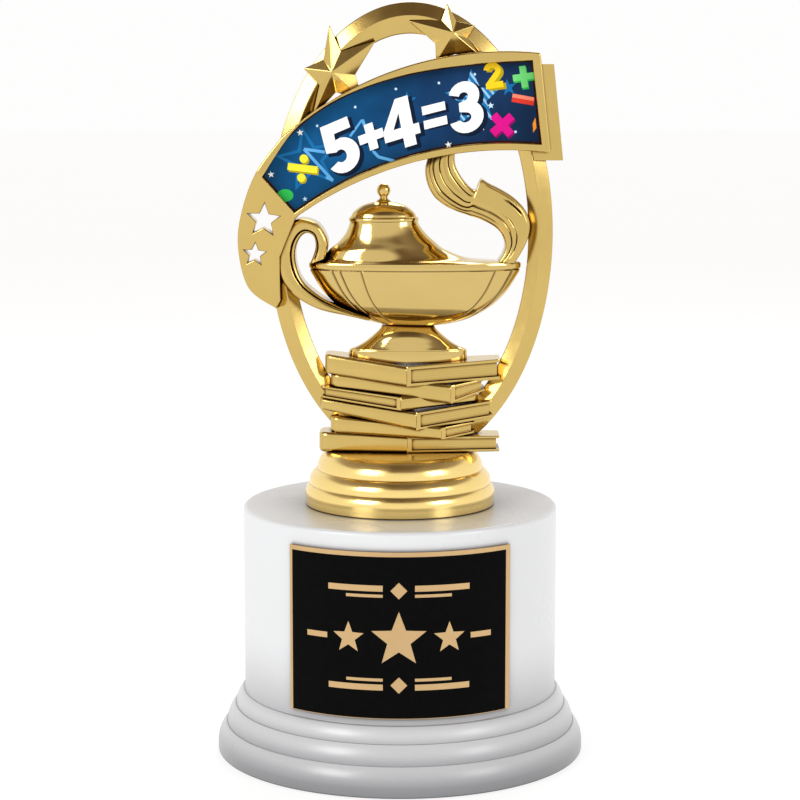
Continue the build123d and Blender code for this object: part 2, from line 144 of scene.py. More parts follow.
def gold(name, bright, deep, roughness, shade_reach=1.15):
    """Metallised gold, a little uneven in tone and gloss, with shade painted in: brown in its hollows and corners,
    and near black as each vertex's painted shade value says.
    """
    nodes = Nodes(name)
    nodes.set(Metallic=1.0)
    tone = nodes.mix(nodes.noise(90.0), deep, bright)
    # Painted shade: ambient occlusion darkens hollows and corners to brown
    crevice_shade_ao = nodes.add("ShaderNodeAmbientOcclusion", samples=12, Distance=shade_reach * MM)
    crevice_shade_browns = ((0.38, (0.06, 0.022, 0.007)), (0.66, (0.48, 0.35, 0.24)), (0.88, (1.0, 1.0, 1.0)))
    crevice_shading = nodes.ramp(crevice_shade_ao.outputs["AO"], *crevice_shade_browns)
    shaded = nodes.mix(1.0, tone, crevice_shading, "MULTIPLY")
    # Painted shade: each vertex's stored value mixes the gold towards near black
    painted_shade = nodes.add("ShaderNodeAttribute", attribute_name="painted_shade")
    nodes.colour(nodes.mix(painted_shade.outputs["Fac"], shaded, (0.035, 0.012, 0.004)))
    nodes.uneven_roughness(260.0, roughness * 0.85, roughness * 1.2)
    nodes.bump(nodes.noise(700.0, 2.0), 0.05, 0.05 * MM)
    return nodes.material


def white_plastic():
    """Moulded white plastic, softly glossy, with shade painted in: greyer where its steps crowd together and near
    the floor.
    """
    nodes = Nodes("white_gloss_plastic")
    nodes.set(IOR=1.5, Coat_Weight=0.25, Coat_Roughness=0.28)
    tint = nodes.mix(nodes.noise(30.0), (0.705, 0.718, 0.732), (0.735, 0.748, 0.762))
    # Painted shade: ambient occlusion greys the steps and the base near the floor
    step_shade_ao = nodes.add("ShaderNodeAmbientOcclusion", samples=24, Distance=40 * MM)
    step_shade_greys = ((0.35, (0.12, 0.117, 0.124)), (0.74, (0.52, 0.512, 0.522)), (0.97, (0.98, 0.98, 0.98)))
    nodes.colour(nodes.mix(1.0, tint, nodes.ramp(step_shade_ao.outputs["AO"], *step_shade_greys), "MULTIPLY"))
    nodes.uneven_roughness(55.0, 0.26, 0.34)
    nodes.bump(nodes.noise(160.0, 2.0), 0.04, 0.08 * MM)
    return nodes.material


def simple(name, first, second, roughness, metallic=0.0, scale=200.0, bump=0.1, gloss=0.5):
    """A plain surface with a fine, uneven grain between two close colours."""
    nodes = Nodes(name)
    nodes.set(Metallic=metallic, Specular_IOR_Level=gloss)
    grain = nodes.noise(scale)
    nodes.colour(nodes.mix(grain, first, second))
    nodes.uneven_roughness(scale * 0.6, roughness * 0.8, roughness * 1.2)
    nodes.bump(grain, bump, 0.05 * MM)
    return nodes.material


def printed(name):
    """A material with the print's dull finish."""
    nodes = Nodes(name)
    nodes.set(Roughness=0.42, Specular_IOR_Level=0.05)
    return nodes


def print_ground():
    """The insert's printed ground: deep navy that brightens to blue towards the ribbon's low end."""
    nodes = printed("print_ground")
    place = nodes.add("ShaderNodeSeparateXYZ")
    nodes.link(nodes.coords(), place.inputs["Vector"])
    across = nodes.add("ShaderNodeMapRange")
    across.inputs["From Min"].default_value = -34 * MM
    across.inputs["From Max"].default_value = 22 * MM
    nodes.link(place.outputs["X"], across.inputs["Value"])
    field = nodes.ramp(
        across.outputs["Result"],
        (0.0, (0.004, 0.055, 0.15)),
        (0.35, (0.005, 0.070, 0.19)),
        (0.75, (0.006, 0.036, 0.108)),
        (1.0, (0.008, 0.030, 0.090)),
    )
    cloud = nodes.grey_ramp(nodes.noise(70.0, 4.0), 0.75, 1.35)
    nodes.colour(nodes.mix(1.0, field, cloud, "MULTIPLY"))
    return nodes.material


def ink(name, scale, first, second):
    """A solid ink that wavers between two close colours."""
    nodes = printed(name)
    nodes.colour(nodes.mix(nodes.noise(scale), first, second))
    return nodes.material


def hatched_ink():
    """Light diagonal strokes on blue."""
    nodes = printed("ink_hatched")
    strokes = nodes.add("ShaderNodeTexWave", Scale=330.0, Distortion=0.0, bands_direction="DIAGONAL")
    turned = nodes.add("ShaderNodeVectorMath", operation="MULTIPLY")
    turned.inputs[1].default_value = (1.0, 0.0, 0.8)
    nodes.link(nodes.coords(), turned.inputs[0])
    nodes.link(turned.outputs["Vector"], strokes.inputs["Vector"])
    nodes.colour(nodes.ramp(strokes.outputs["Fac"], (0.55, (0.012, 0.17, 0.42)), (0.75, (0.30, 0.55, 0.80))))
    return nodes.material


def felt():
    """Dark green felt with a coarse nap."""
    nodes = Nodes("felt")
    nodes.set(Roughness=0.95, Sheen_Weight=0.5)
    nodes.colour(nodes.mix(nodes.noise(900.0), (0.01, 0.03, 0.02), (0.03, 0.07, 0.05)))
    nodes.bump(nodes.noise(1400.0), 0.6, 0.3 * MM)
    return nodes.material


FIGURE_GOLD = gold("figure_gold", (0.66, 0.475, 0.155), (0.60, 0.425, 0.135), 0.19)
ARCH_GOLD = gold("arch_gold", (0.66, 0.475, 0.155), (0.60, 0.425, 0.135), 0.17, 0.5)
MIRROR_GOLD = gold("mirror_gold", (0.70, 0.515, 0.19), (0.65, 0.47, 0.165), 0.10)
# The riser's gold is a lighter copy, painted brighter to stand in for the stronger light it catches
RISER_GOLD = gold("riser_gold", (1.0, 0.76, 0.30), (0.95, 0.70, 0.25), 0.20, 0.6)
WHITE = white_plastic()
PLATE_GOLD = simple("plate_gold", (0.60, 0.40, 0.19), (0.66, 0.45, 0.23), 0.38, 1.0, 400.0)
PLATE_BLACK = simple("plate_black", (0.002, 0.002, 0.002), (0.004, 0.004, 0.004), 0.4, 0.0, 500.0, 0.1, 0.02)
ZINC = simple("zinc_steel", (0.45, 0.46, 0.47), (0.58, 0.59, 0.60), 0.35, 1.0, 600.0)
IRON = simple("weight_iron", (0.02, 0.02, 0.022), (0.05, 0.05, 0.052), 0.7, 0.6, 500.0, 0.5)
CARD = simple("cover_black", (0.008, 0.008, 0.008), (0.018, 0.018, 0.018), 0.7, 0.0, 800.0, 0.3)
TAPE = simple("tape", (0.55, 0.54, 0.50), (0.64, 0.63, 0.58), 0.6, 0.0, 700.0, 0.3)
FELT = felt()
GROUND = print_ground()
INKS = {
    "white": (150.0, (0.90, 0.90, 0.90), (0.95, 0.95, 0.95)),
    "shade": (150.0, (0.003, 0.010, 0.028), (0.005, 0.014, 0.038)),
    "yellow": (400.0, (0.88, 0.53, 0.01), (0.95, 0.68, 0.02)),
    "light_yellow": (400.0, (0.80, 0.72, 0.02), (0.90, 0.83, 0.06)),
    "deep_yellow": (400.0, (0.38, 0.30, 0.01), (0.50, 0.40, 0.012)),
    "green": (400.0, (0.02, 0.42, 0.06), (0.04, 0.52, 0.10)),
    "light_green": (400.0, (0.12, 0.60, 0.16), (0.20, 0.70, 0.22)),
    "red": (400.0, (0.62, 0.035, 0.02), (0.72, 0.05, 0.03)),
    "light_red": (400.0, (0.85, 0.20, 0.12), (0.92, 0.28, 0.18)),
    "pink": (400.0, (0.62, 0.004, 0.22), (0.72, 0.01, 0.28)),
    "deep_pink": (400.0, (0.22, 0.004, 0.10), (0.30, 0.006, 0.13)),
    "orange": (400.0, (0.90, 0.28, 0.02), (0.95, 0.36, 0.04)),
    "sky": (260.0, (0.06, 0.30, 0.66), (0.16, 0.46, 0.80)),
    "pale": (400.0, (0.45, 0.68, 0.88), (0.62, 0.80, 0.94)),
    "dim": (260.0, (0.006, 0.11, 0.30), (0.012, 0.17, 0.42)),
}
INK = {key: ink(f"ink_{key}", *colours) for key, colours in INKS.items()}
INK["hatched"] = hatched_ink()


# ---- mesh helpers
def round_edges(obj, width, segments, angle):
    """Rounds the edges that are sharper than an angle in degrees."""
    rounding = obj.modifiers.new("round", "BEVEL")
    rounding.width = width * MM
    rounding.segments = segments
    rounding.limit_method = "ANGLE"
    rounding.angle_limit = radians(angle)
    rounding.harden_normals = False


def placed_object(name, data):
    """A new object in the scene."""
    obj = bpy.data.objects.new(name, data)
    bpy.context.scene.collection.objects.link(obj)
    return obj


def piece(mesh, node, smooth, bevel=0.0, weighted=True):
    """Puts a mesh, in millimetres, into the scene as a piece; node is the CAD node it stands for, if any."""
    mesh.transform(Matrix.Scale(MM, 4))
    for polygon in mesh.polygons:
        polygon.use_smooth = True
    mesh.set_sharp_from_angle(angle=radians(smooth))
    obj = placed_object(mesh.name, mesh)
    if bevel:
        round_edges(obj, bevel, 3, smooth)
    if weighted:
        obj.modifiers.new("normals", "WEIGHTED_NORMAL").keep_sharp = True
    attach(obj, "root")
    if node:
        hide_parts(node)


def raw_mesh(name, shape, material):
    """A mesh of (points, faces) that keeps its points in the given order."""
    mesh = bpy.data.meshes.new(name)
    mesh.from_pydata(shape[0], [], shape[1])
    mesh.materials.append(material)
    return mesh


@contextmanager
def editing(mesh):
    """The mesh opened for editing, and written back at the end."""
    built = bmesh.new()
    built.from_mesh(mesh)
    yield built
    built.to_mesh(mesh)
    built.free()


def faced_out(mesh, merge=0.0):
    """The mesh with its faces turned outwards, once points closer together than merge are one."""
    with editing(mesh) as built:
        if merge:
            bmesh.ops.remove_doubles(built, verts=built.verts, dist=merge)
        bmesh.ops.recalc_face_normals(built, faces=built.faces)
    return mesh


def new_mesh(name, shape, material):
    return faced_out(raw_mesh(name, shape, material), MERGE)


def slice_at(built, place, normal, **choices):
    """Cuts the bmesh's faces where a plane crosses them."""
    whole = built.verts[:] + built.edges[:] + built.faces[:]
    bmesh.ops.bisect_plane(built, geom=whole, plane_co=place, plane_no=normal, **choices)


def smooth_path(points, steps):
    """Points on a Catmull-Rom curve through the given points, of any number of dimensions."""
    last = len(points) - 1
    path = []
    for i in range(last):
        a, b, c, d = (points[min(max(i + k, 0), last)] for k in (-1, 0, 1, 2))
        for s in range(steps):
            t = s / steps
            path.append(
                tuple(
                    q + t / 2 * (r - p) + t * t * (p - 2.5 * q + 2 * r - w / 2) + t**3 * (w - p + 3 * (q - r)) / 2
                    for p, q, r, w in zip(a, b, c, d)
                )
            )
    path.append(tuple(points[-1]))
    return path


def rounded(corners, radius, steps=4, closed=True):
    """A polygon of (x, y) corners with each corner rounded off by about radius."""
    path = []
    count = len(corners)
    for i, corner in enumerate(corners):
        if not closed and i in (0, count - 1):
            path.append(corner)
            continue
        here = Vector(corner)
        before = Vector(corners[i - 1]) - here
        after = Vector(corners[(i + 1) % count]) - here
        cut = min(radius, before.length * 0.45, after.length * 0.45)
        start, end = here + before.normalized() * cut, here + after.normalized() * cut
        for s in range(steps + 1):
            t = s / steps
            path.append(tuple(start * (1 - t) ** 2 + here * 2 * t * (1 - t) + end * t * t))
    return path


def skin(rings, capped=True):
    """Faces that join closed rings of points one to the next. Returns the points and the faces."""
    size = len(rings[0])
    points = [p for ring in rings for p in ring]
    faces = []
    for i in range(len(rings) - 1):
        for j in range(size):
            k = (j + 1) % size
            faces.append((i * size + j, i * size + k, (i + 1) * size + k, (i + 1) * size + j))
    if capped:
        faces.append(tuple(range(size)))
        faces.append(tuple((len(rings) - 1) * size + j for j in range(size)))
    return points, faces


def lathe(profile, turns=192, centre_x=0.0):
    """A turned body from a closed profile of (r, z)."""
    rings = []
    for i in range(turns):
        angle = 2 * pi * i / turns
        rings.append([(centre_x + r * cos(angle), r * sin(angle), z) for r, z in profile])
    rings.append(rings[0])
    return skin(rings, capped=False)


def slab_mesh(name, loops, front, back, bevel, material, segments=2):
    """A flat plate from closed loops of (x, z), later loops being holes, with its edges rounded."""
    curve = bpy.data.curves.new(name, "CURVE")
    curve.dimensions = "2D"
    curve.fill_mode = "BOTH"
    curve.bevel_depth = bevel
    curve.bevel_resolution = segments
    curve.extrude = (front - back) / 2 - bevel
    curve.offset = -bevel
    for loop in loops:
        spline = curve.splines.new("POLY")
        spline.points.add(len(loop) - 1)
        for point, (x, z) in zip(spline.points, loop):
            point.co = (x, z, 0.0, 1.0)
        spline.use_cyclic_u = True
    holder = bpy.data.objects.new(name, curve)
    mesh = bpy.data.meshes.new_from_object(holder)
    bpy.data.objects.remove(holder)
    bpy.data.curves.remove(curve)
    middle = -(front + back) / 2
    for vertex in mesh.vertices:
        x, z, rise = vertex.co
        vertex.co = (x, middle - rise, z)
    mesh.materials.clear()
    mesh.materials.append(material)
    return faced_out(mesh, 10 * MERGE)


def star_loop(centre, reach, lean=0.0, inner=0.42):
    """The ten corners of a regular star; lean turns it to the left, in degrees."""
    loop = []
    for i in range(10):
        angle = radians(90 + lean + 36 * i)
        radius = reach * (inner if i % 2 else 1.0)
        loop.append((centre[0] + radius * cos(angle), centre[1] + radius * sin(angle)))
    return loop


def arc_points(centre, radii, start, end, steps=12):
    """Points on an arc of an ellipse, angles in degrees."""
    angles = [radians(start + (end - start) * i / steps) for i in range(steps + 1)]
    return [(centre[0] + radii[0] * cos(angle), centre[1] + radii[1] * sin(angle)) for angle in angles]


def disc(centre, radii, steps=17):
    """A closed loop round a small disc or oval."""
    return arc_points(centre, radii, 0, 360 * steps / (steps + 1), steps)


def through(start, middle, end, steps=32):
    """Points along the circular arc through three points."""
    (ax, az), (bx, bz), (cx, cz) = start, middle, end
    d = 2 * (ax * (bz - cz) + bx * (cz - az) + cx * (az - bz))
    a2, b2, c2 = ax * ax + az * az, bx * bx + bz * bz, cx * cx + cz * cz
    ux = (a2 * (bz - cz) + b2 * (cz - az) + c2 * (az - bz)) / d
    uz = (a2 * (cx - bx) + b2 * (ax - cx) + c2 * (bx - ax)) / d
    radius = hypot(ax - ux, az - uz)
    first, mid, last = (atan2(p[1] - uz, p[0] - ux) for p in (start, middle, end))
    turn = (last - first) % (2 * pi)
    if (mid - first) % (2 * pi) > turn:
        turn -= 2 * pi
    angles = [first + turn * i / steps for i in range(steps + 1)]
    return [(ux + radius * cos(angle), uz + radius * sin(angle)) for angle in angles]


def join(name, meshes):
    """Several meshes as one, each face keeping its material."""
    joined = bpy.data.meshes.new(name)
    built = bmesh.new()
    for mesh in meshes:
        shift = len(joined.materials)
        faces_before = len(built.faces)
        for material in mesh.materials:
            joined.materials.append(material)
        built.from_mesh(mesh)
        built.faces.ensure_lookup_table()
        for face in built.faces[faces_before:]:
            face.material_index += shift
    built.to_mesh(joined)
    built.free()
    for mesh in meshes:
        bpy.data.meshes.remove(mesh)
    return joined


# ---- base
FOOT_R = node_box("base_shell")[1][0]
BASE_TOP = node_box("base_shell")[1][2]
BASE_LOW = 0.4
BODY_R = 43.2
BODY_BOTTOM = 17.8
BODY_ROUND = 1.2
BASE_WALL = 2.6
ROD_HOLE_R = 3.4
# Foot bands, bottom one first: start and shoulder as (r, z), then how far the band swells between them
FOOT_BANDS = (
    ((FOOT_R, 3.0), (48.55, 8.3), 0.55),
    ((48.25, 8.36), (46.05, 13.5), 0.5),
    ((45.75, 13.56), (43.75, BODY_BOTTOM), 0.42),
)
RISER_TOP = node_box("riser")[1][2]
RISER_BANDS = (
    ((26.05, 71.6), (25.3, 74.9), 0.4),
    ((25.0, 75.15), (23.35, 79.0), 0.6),
    ((22.8, 79.25), (20.2, RISER_TOP - 0.25), 0.75),
)


def band(start, shoulder, sag, steps=8):
    """An outward-swelling stretch of profile from its foot to its shoulder."""
    run, rise = shoulder[0] - start[0], shoulder[1] - start[1]
    length = hypot(run, rise)
    middle = ((start[0] + shoulder[0]) / 2 + sag * rise / length, (start[1] + shoulder[1]) / 2 - sag * run / length)
    return through(start, middle, shoulder, steps)


def build_base():
    toe = rounded([(48.4, BASE_LOW), (FOOT_R, BASE_LOW), (FOOT_R, 2.0)], 0.5, closed=False)
    profile = [(47.6, BASE_LOW)] + toe[1:-1]
    for ends in FOOT_BANDS:
        profile += band(*ends)
    ledge = [(43.7, BODY_BOTTOM), (BODY_R, BODY_BOTTOM + 0.2), (BODY_R, BODY_BOTTOM + 2)]
    profile += rounded(ledge, 0.3, closed=False)[1:]
    profile += arc_points((BODY_R - BODY_ROUND, BASE_TOP - BODY_ROUND), (BODY_ROUND, BODY_ROUND), 0, 90, 8)
    inside, ceiling = BODY_R - BASE_WALL, BASE_TOP - BASE_WALL
    profile += [(ROD_HOLE_R, BASE_TOP), (ROD_HOLE_R, ceiling), (inside, ceiling), (inside, BODY_BOTTOM)]
    profile += [(45.2, 9.0), (45.2, 2.4), (47.6, 2.4)]
    piece(new_mesh("pedestal", lathe(profile, 256), WHITE), "base_shell", 24.0)


def build_riser():
    profile = rounded([(25.0, BASE_TOP), (26.0, BASE_TOP), (26.05, BASE_TOP + 2)], 0.3, closed=False)
    for ends in RISER_BANDS:
        profile += band(*ends)
    profile += [(19.7, RISER_TOP), (ROD_HOLE_R, RISER_TOP), (ROD_HOLE_R, BASE_TOP), (6.5, BASE_TOP)]
    profile += [(6.5, 82.2), (17.0, 82.2), (20.6, 78.0), (24.2, 72.0), (24.2, BASE_TOP)]
    piece(new_mesh("riser_collar", lathe(profile, 224), RISER_GOLD), "riser", 26.0)


# ---- arch
ARCH_CENTRE = (2.85, 143.7)
# Half width and half height of the outer edge, the ridge and the inner edge
ARCH_RADII = ((38.74, 62.4), (34.95, 58.7), (32.1, 54.0))
ARCH_TURNS = 240
RIDGE_Y = 2.8
EDGE_Y = 1.2


def tail_stars():
    """The outlines of the two stars pierced through the ribbon's tail and the arch behind it."""
    return [star_loop((-36.7, 148.0), 4.6, -4, 0.45), star_loop((-39.3, 138.6), 3.2, -4, 0.45)]


def pierced(mesh, loops):
    """The mesh with closed loops of (x, z) cut right through it from front to back."""
    name = mesh.name
    holder = placed_object("pierced", mesh)
    cutters = []
    for loop in loops:
        prism = skin([[(x, y, z) for x, z in loop] for y in (-2 * RIDGE_Y, 2 * RIDGE_Y)])
        cutter = placed_object("cutter", new_mesh("cutter", prism, mesh.materials[0]))
        cut = holder.modifiers.new("cut", "BOOLEAN")
        cut.object = cutter
        cut.operation = "DIFFERENCE"
        cut.solver = "EXACT"
        cutters.append(cutter)
    result = bpy.data.meshes.new_from_object(holder.evaluated_get(bpy.context.evaluated_depsgraph_get()))
    for obj in (holder, *cutters):
        bpy.data.meshes.remove(obj.data)
    result.name = name
    return result


def build_arch():
    # Across the section, 0 is the outer edge, 1 the ridge and 2 the inner edge
    half = [(0.0, -EDGE_Y), (1.0, -RIDGE_Y), (2.0, -EDGE_Y)]
    section = rounded(half + [(s, -y) for s, y in reversed(half)], 0.13, 3)
    rings = []
    for i in range(ARCH_TURNS):
        angle = 2 * pi * i / ARCH_TURNS
        ring = []
        for share, y in section:
            low = min(int(share), 1)
            blend = share - low
            a, b = (ARCH_RADII[low][k] * (1 - blend) + ARCH_RADII[low + 1][k] * blend for k in (0, 1))
            ring.append((ARCH_CENTRE[0] + a * cos(angle), y, ARCH_CENTRE[1] + b * sin(angle)))
        rings.append(ring)
    rings.append(rings[0])
    mesh = new_mesh("arch_ring", skin(rings, capped=False), ARCH_GOLD)
    with editing(mesh) as built:
        slice_at(built, (0, 0, node_box("arch")[0][2]), (0, 0, -1), clear_outer=True)
        bmesh.ops.holes_fill(built, edges=[e for e in built.edges if e.is_boundary])
    piece(pierced(mesh, tail_stars()), "arch", 18.0)


# ---- ribbon
RIBBON_FRONT = -node_box("ribbon")[0][1]
RIBBON_BACK = RIDGE_Y
RIGHT_TOP = (37.4, 192.6)
RIGHT_LOW = (40.3, 166.1)
SHOULDER = (-31.9, 170.0)
FOLD_TOP = Vector((-38.1, 161.7))
FOLD_LOW = Vector((-27.1, 149.4))
FOLD_ALONG = (FOLD_TOP - FOLD_LOW).normalized()
FOLD_AWAY = Vector((-FOLD_ALONG.y, FOLD_ALONG.x))
FOLD_ROUND = 2.0
TAIL_TIP = (-33.6, 123.7)
TAIL_OUTSIDE = (SHOULDER, (-38.6, 160.9), (-42.6, 150.6), (-43.9, 140.6), (-41.2, 129.3), TAIL_TIP)
TAIL_INSIDE = ((-32.5, 126.0), (-32.5, 138.0), (-28.2, 148.3))
TAIL_SLOPE = 13.0
INSERT_FRONT = -node_box("insert_panel")[0][1]
INSERT_TOP = ((34.9, 190.2), (18.0, 189.0), (0.0, 186.0), (-16.0, 180.2), (-27.6, 172.2), (-36.4, 159.7))
INSERT_LOW = ((-28.3, 150.6), (0.0, 164.9), (37.4, 168.8))


def insert_loop(grow):
    """The insert's outline, grown outwards by grow."""
    return grown(smooth_path(INSERT_TOP, 8) + through(*INSERT_LOW), grow)


def grown(loop, grow):
    """A loop moved outwards by grow along its corners' normals; loops run anticlockwise."""
    moved = []
    for i, corner in enumerate(loop):
        here = Vector(corner)
        before = (here - Vector(loop[i - 1])).normalized()
        after = (Vector(loop[(i + 1) % len(loop)]) - here).normalized()
        normal = Vector((before.y + after.y, -before.x - after.x))
        normal = normal.normalized() / max(0.5, sqrt((1 + before.dot(after)) / 2))
        moved.append(tuple(here + normal * grow))
    return moved


def slope_back(mesh):
    """Bends the ribbon's tail back, from the fold line on, and rounds the fold."""
    for vertex in mesh.vertices:
        reach = (Vector((vertex.co.x, vertex.co.z)) - FOLD_LOW).dot(FOLD_AWAY)
        if reach > 0:
            vertex.co.y += tan(radians(TAIL_SLOPE)) * reach * min(1.0, reach / FOLD_ROUND)


def build_ribbon():
    outline = through(RIGHT_TOP, (0.0, 188.5), SHOULDER, 40)[:-1] + smooth_path(TAIL_OUTSIDE, 10)
    outline += [*TAIL_INSIDE, *through(FOLD_LOW, (0.0, 162.5), RIGHT_LOW, 40)]
    corners = rounded([outline[-2], RIGHT_LOW, RIGHT_TOP, outline[1]], 1.5, 5, closed=False)[1:-1]
    loops = [outline[1:-1] + corners, insert_loop(0.35), *tail_stars()]
    border = slab_mesh("ribbon_border", loops, RIBBON_FRONT, RIBBON_BACK, 0.45, FIGURE_GOLD, 3)
    with editing(border) as built:
        # Extra edges along the fold, for its rounding
        for reach in (0.0, 0.7, 1.4, 2.1):
            place = FOLD_LOW + reach * FOLD_AWAY
            slice_at(built, (place.x, 0, place.y), (FOLD_AWAY.x, 0, FOLD_AWAY.y))
    slope_back(border)
    back = slab_mesh("ribbon_back", [insert_loop(0.9)], RIBBON_BACK + 2.6, RIBBON_BACK + 0.02, 0.1, FIGURE_GOLD)
    piece(join("ribbon_frame", [border, back]), "ribbon", 28.0)


build_base()
build_riser()
build_arch()
build_ribbon()

# ---- lamp
def with_painted_shade(mesh, painted_shades):
    """Stores how much shade is painted at each vertex, from 0 to 1, such as in grooves and on side walls."""
    layer = mesh.attributes.new("painted_shade", "FLOAT", "POINT")
    layer.data.foreach_set("value", painted_shades)
    return mesh


def groove(distance, width):
    """How deep a rounded groove is at a distance from its middle, from 0 to 1."""
    share = abs(distance) / width
    return 0.0 if share >= 1 else (0.5 + 0.5 * cos(pi * share)) ** 0.8


BOWL_X = 4.1
BOWL_FLATTEN = 0.36
BOWL_SIDE = ((7.1, 118.9), (9.8, 119.25), (15.2, 120.8), (20.7, 123.9), (25.0, 128.0), (28.0, 132.6), (28.75, 134.1))
RIM_Z = 136.2
BOWL_RIM = (
    (28.45, 134.25), (28.45, 134.4), (28.8, 134.55), (28.95, 134.9), (28.95, 135.8), (28.7, 136.15), (28.2, RIM_Z),
)
BOWL_COLUMNS = 640
BOWL_R = 28.9
# Painted shade in the rim groove: its lower and upper heights, and how dark it is
RIM_GROOVE_LOW, RIM_GROOVE_HIGH, RIM_GROOVE_DARK = 134.2, 134.5, 0.9
# Engraved lines that run down the bowl: where each meets the rim across the front, and where all start
BOWL_LINES = (-22.5, -20.3, -14.6, 21.6, 26.4)
BOWL_LINES_R = 28.7
BOWL_LINES_LOW = 119.4
BOWL_LINE_HALF = 0.27
BOWL_LINE_CUT = 0.2
# How much shade is painted in the bowl's lines and rim groove
BOWL_DARK = 0.7


def bowl_line(x, r, z):
    """How deep in an engraved line a place on the bowl is, from 0 to 1. A line keeps its place round the
    bowl, so that it runs in to the neck."""
    if not BOWL_LINES_LOW < z < RIM_GROOVE_LOW:
        return 0.0
    return max(
        groove((x - r * line / BOWL_LINES_R) * max(0.35, sqrt(1 - (line / BOWL_R) ** 2)), BOWL_LINE_HALF)
        for line in BOWL_LINES
    )


def build_bowl():
    profile = [(0.5, 118.9), *smooth_path(BOWL_SIDE, 9), *BOWL_RIM, (0.5, RIM_Z)]
    size = len(profile)
    points = []
    painted_shades = []
    for i in range(BOWL_COLUMNS):
        angle = 2 * pi * i / BOWL_COLUMNS
        for r, z in profile:
            x, y = r * cos(angle), r * BOWL_FLATTEN * sin(angle)
            depth = bowl_line(x, r, z)
            points.append((BOWL_X + x * (1 - BOWL_LINE_CUT * depth / max(r, 1.0)), y * (1 - 0.03 * depth), z))
            # Painted shade in the engraved lines and in the rim groove
            rim_groove = RIM_GROOVE_LOW < z < RIM_GROOVE_HIGH
            painted_shades.append(BOWL_DARK * (RIM_GROOVE_DARK if rim_groove else depth))
    faces = []
    for i in range(BOWL_COLUMNS):
        k = (i + 1) % BOWL_COLUMNS
        for j in range(size - 1):
            faces.append((i * size + j, k * size + j, k * size + j + 1, i * size + j + 1))
    faces.append(tuple(i * size for i in reversed(range(BOWL_COLUMNS))))
    faces.append(tuple(i * size + size - 1 for i in range(BOWL_COLUMNS)))
    piece(with_painted_shade(raw_mesh("lamp_bowl_body", (points, faces), MIRROR_GOLD), painted_shades), "lamp_bowl", 50.0)


# Each level's height, left end, right end and half depth
SHOULDER_LEVELS = (
    (136.2, -24.2, 32.7, 10.2),
    (136.7, -22.9, 26.0, 9.8),
    (137.3, -20.9, 18.4, 9.4),
    (139.6, -19.2, 12.2, 8.7),
    (141.6, -16.8, 9.6, 8.0),
    (143.9, -14.9, 7.1, 7.2),
    (146.2, -13.9, 5.3, 6.6),
    (147.3, -13.7, 4.9, 6.4),
)
LID_X = -4.45
LID_BASE = 147.3
LID_TOP = 152.5
# The lid as (half width, z): its lip, then its dome
LID_LIP = ((9.4, LID_BASE), (9.55, 147.6), (9.5, 148.1), (9.2, 148.4))
LID_DOME = ((8.95, 148.5), (8.1, 149.9), (5.9, 151.5), (3.6, 152.3), (2.3, LID_TOP))
LID_FLATTEN = 0.66
FINIAL_NECK = ((0.0, LID_TOP), (2.1, LID_TOP), (1.9, 152.9), (1.25, 153.25), (1.05, 153.6), (1.15, 153.95))
FINIAL_Z = 155.6
FINIAL_R = 1.9
FOOT_X = 2.2
# The foot as (z, half width, half depth): its plinth, then its flared side
FOOT_PLINTH = (
    (109.0, 15.9, 5.5), (109.2, 16.15, 5.6), (111.8, 16.15, 5.6), (112.15, 15.95, 5.5), (112.25, 15.7, 5.45),
)
FOOT_FLARE = (
    (112.4, 15.6, 5.45),
    (113.0, 14.0, 5.3),
    (114.2, 11.9, 5.0),
    (116.2, 9.4, 4.4),
    (117.8, 7.7, 3.4),
    (118.9, 7.1, 2.56),
)


def level_body(name, levels, node, columns, smooth):
    """A body through levels of (z, left x, right x, half depth), an oval at each."""
    rings = []
    for z, left, right, deep in levels:
        centre, half = (left + right) / 2, (right - left) / 2
        angles = [2 * pi * i / columns for i in range(columns)]
        rings.append([(centre + half * cos(angle), deep * sin(angle), z) for angle in angles])
    piece(new_mesh(name, skin(rings), MIRROR_GOLD), node, smooth)


def build_lamp_top():
    level_body("lamp_shoulder_body", smooth_path(SHOULDER_LEVELS, 7), "lamp_shoulder", 192, 50.0)
    lid = [(z, LID_X - r, LID_X + r, r * LID_FLATTEN) for r, z in [*LID_LIP, *smooth_path(LID_DOME, 6)]]
    level_body("lamp_lid_body", lid, "lamp_lid", 128, 32.0)
    ball = arc_points((0.0, FINIAL_Z), (FINIAL_R, FINIAL_R), -52, 90, 16)
    finial = lathe([*FINIAL_NECK, *ball], 48, LID_X)
    piece(new_mesh("lamp_finial_knob", finial, MIRROR_GOLD), "lamp_finial", 60.0)


def build_lamp_foot():
    side = [*FOOT_PLINTH, *smooth_path(FOOT_FLARE, 7)]
    levels = [(z, FOOT_X - half, FOOT_X + half, deep) for z, half, deep in side]
    level_body("lamp_foot_body", levels, "lamp_foot", 160, 32.0)


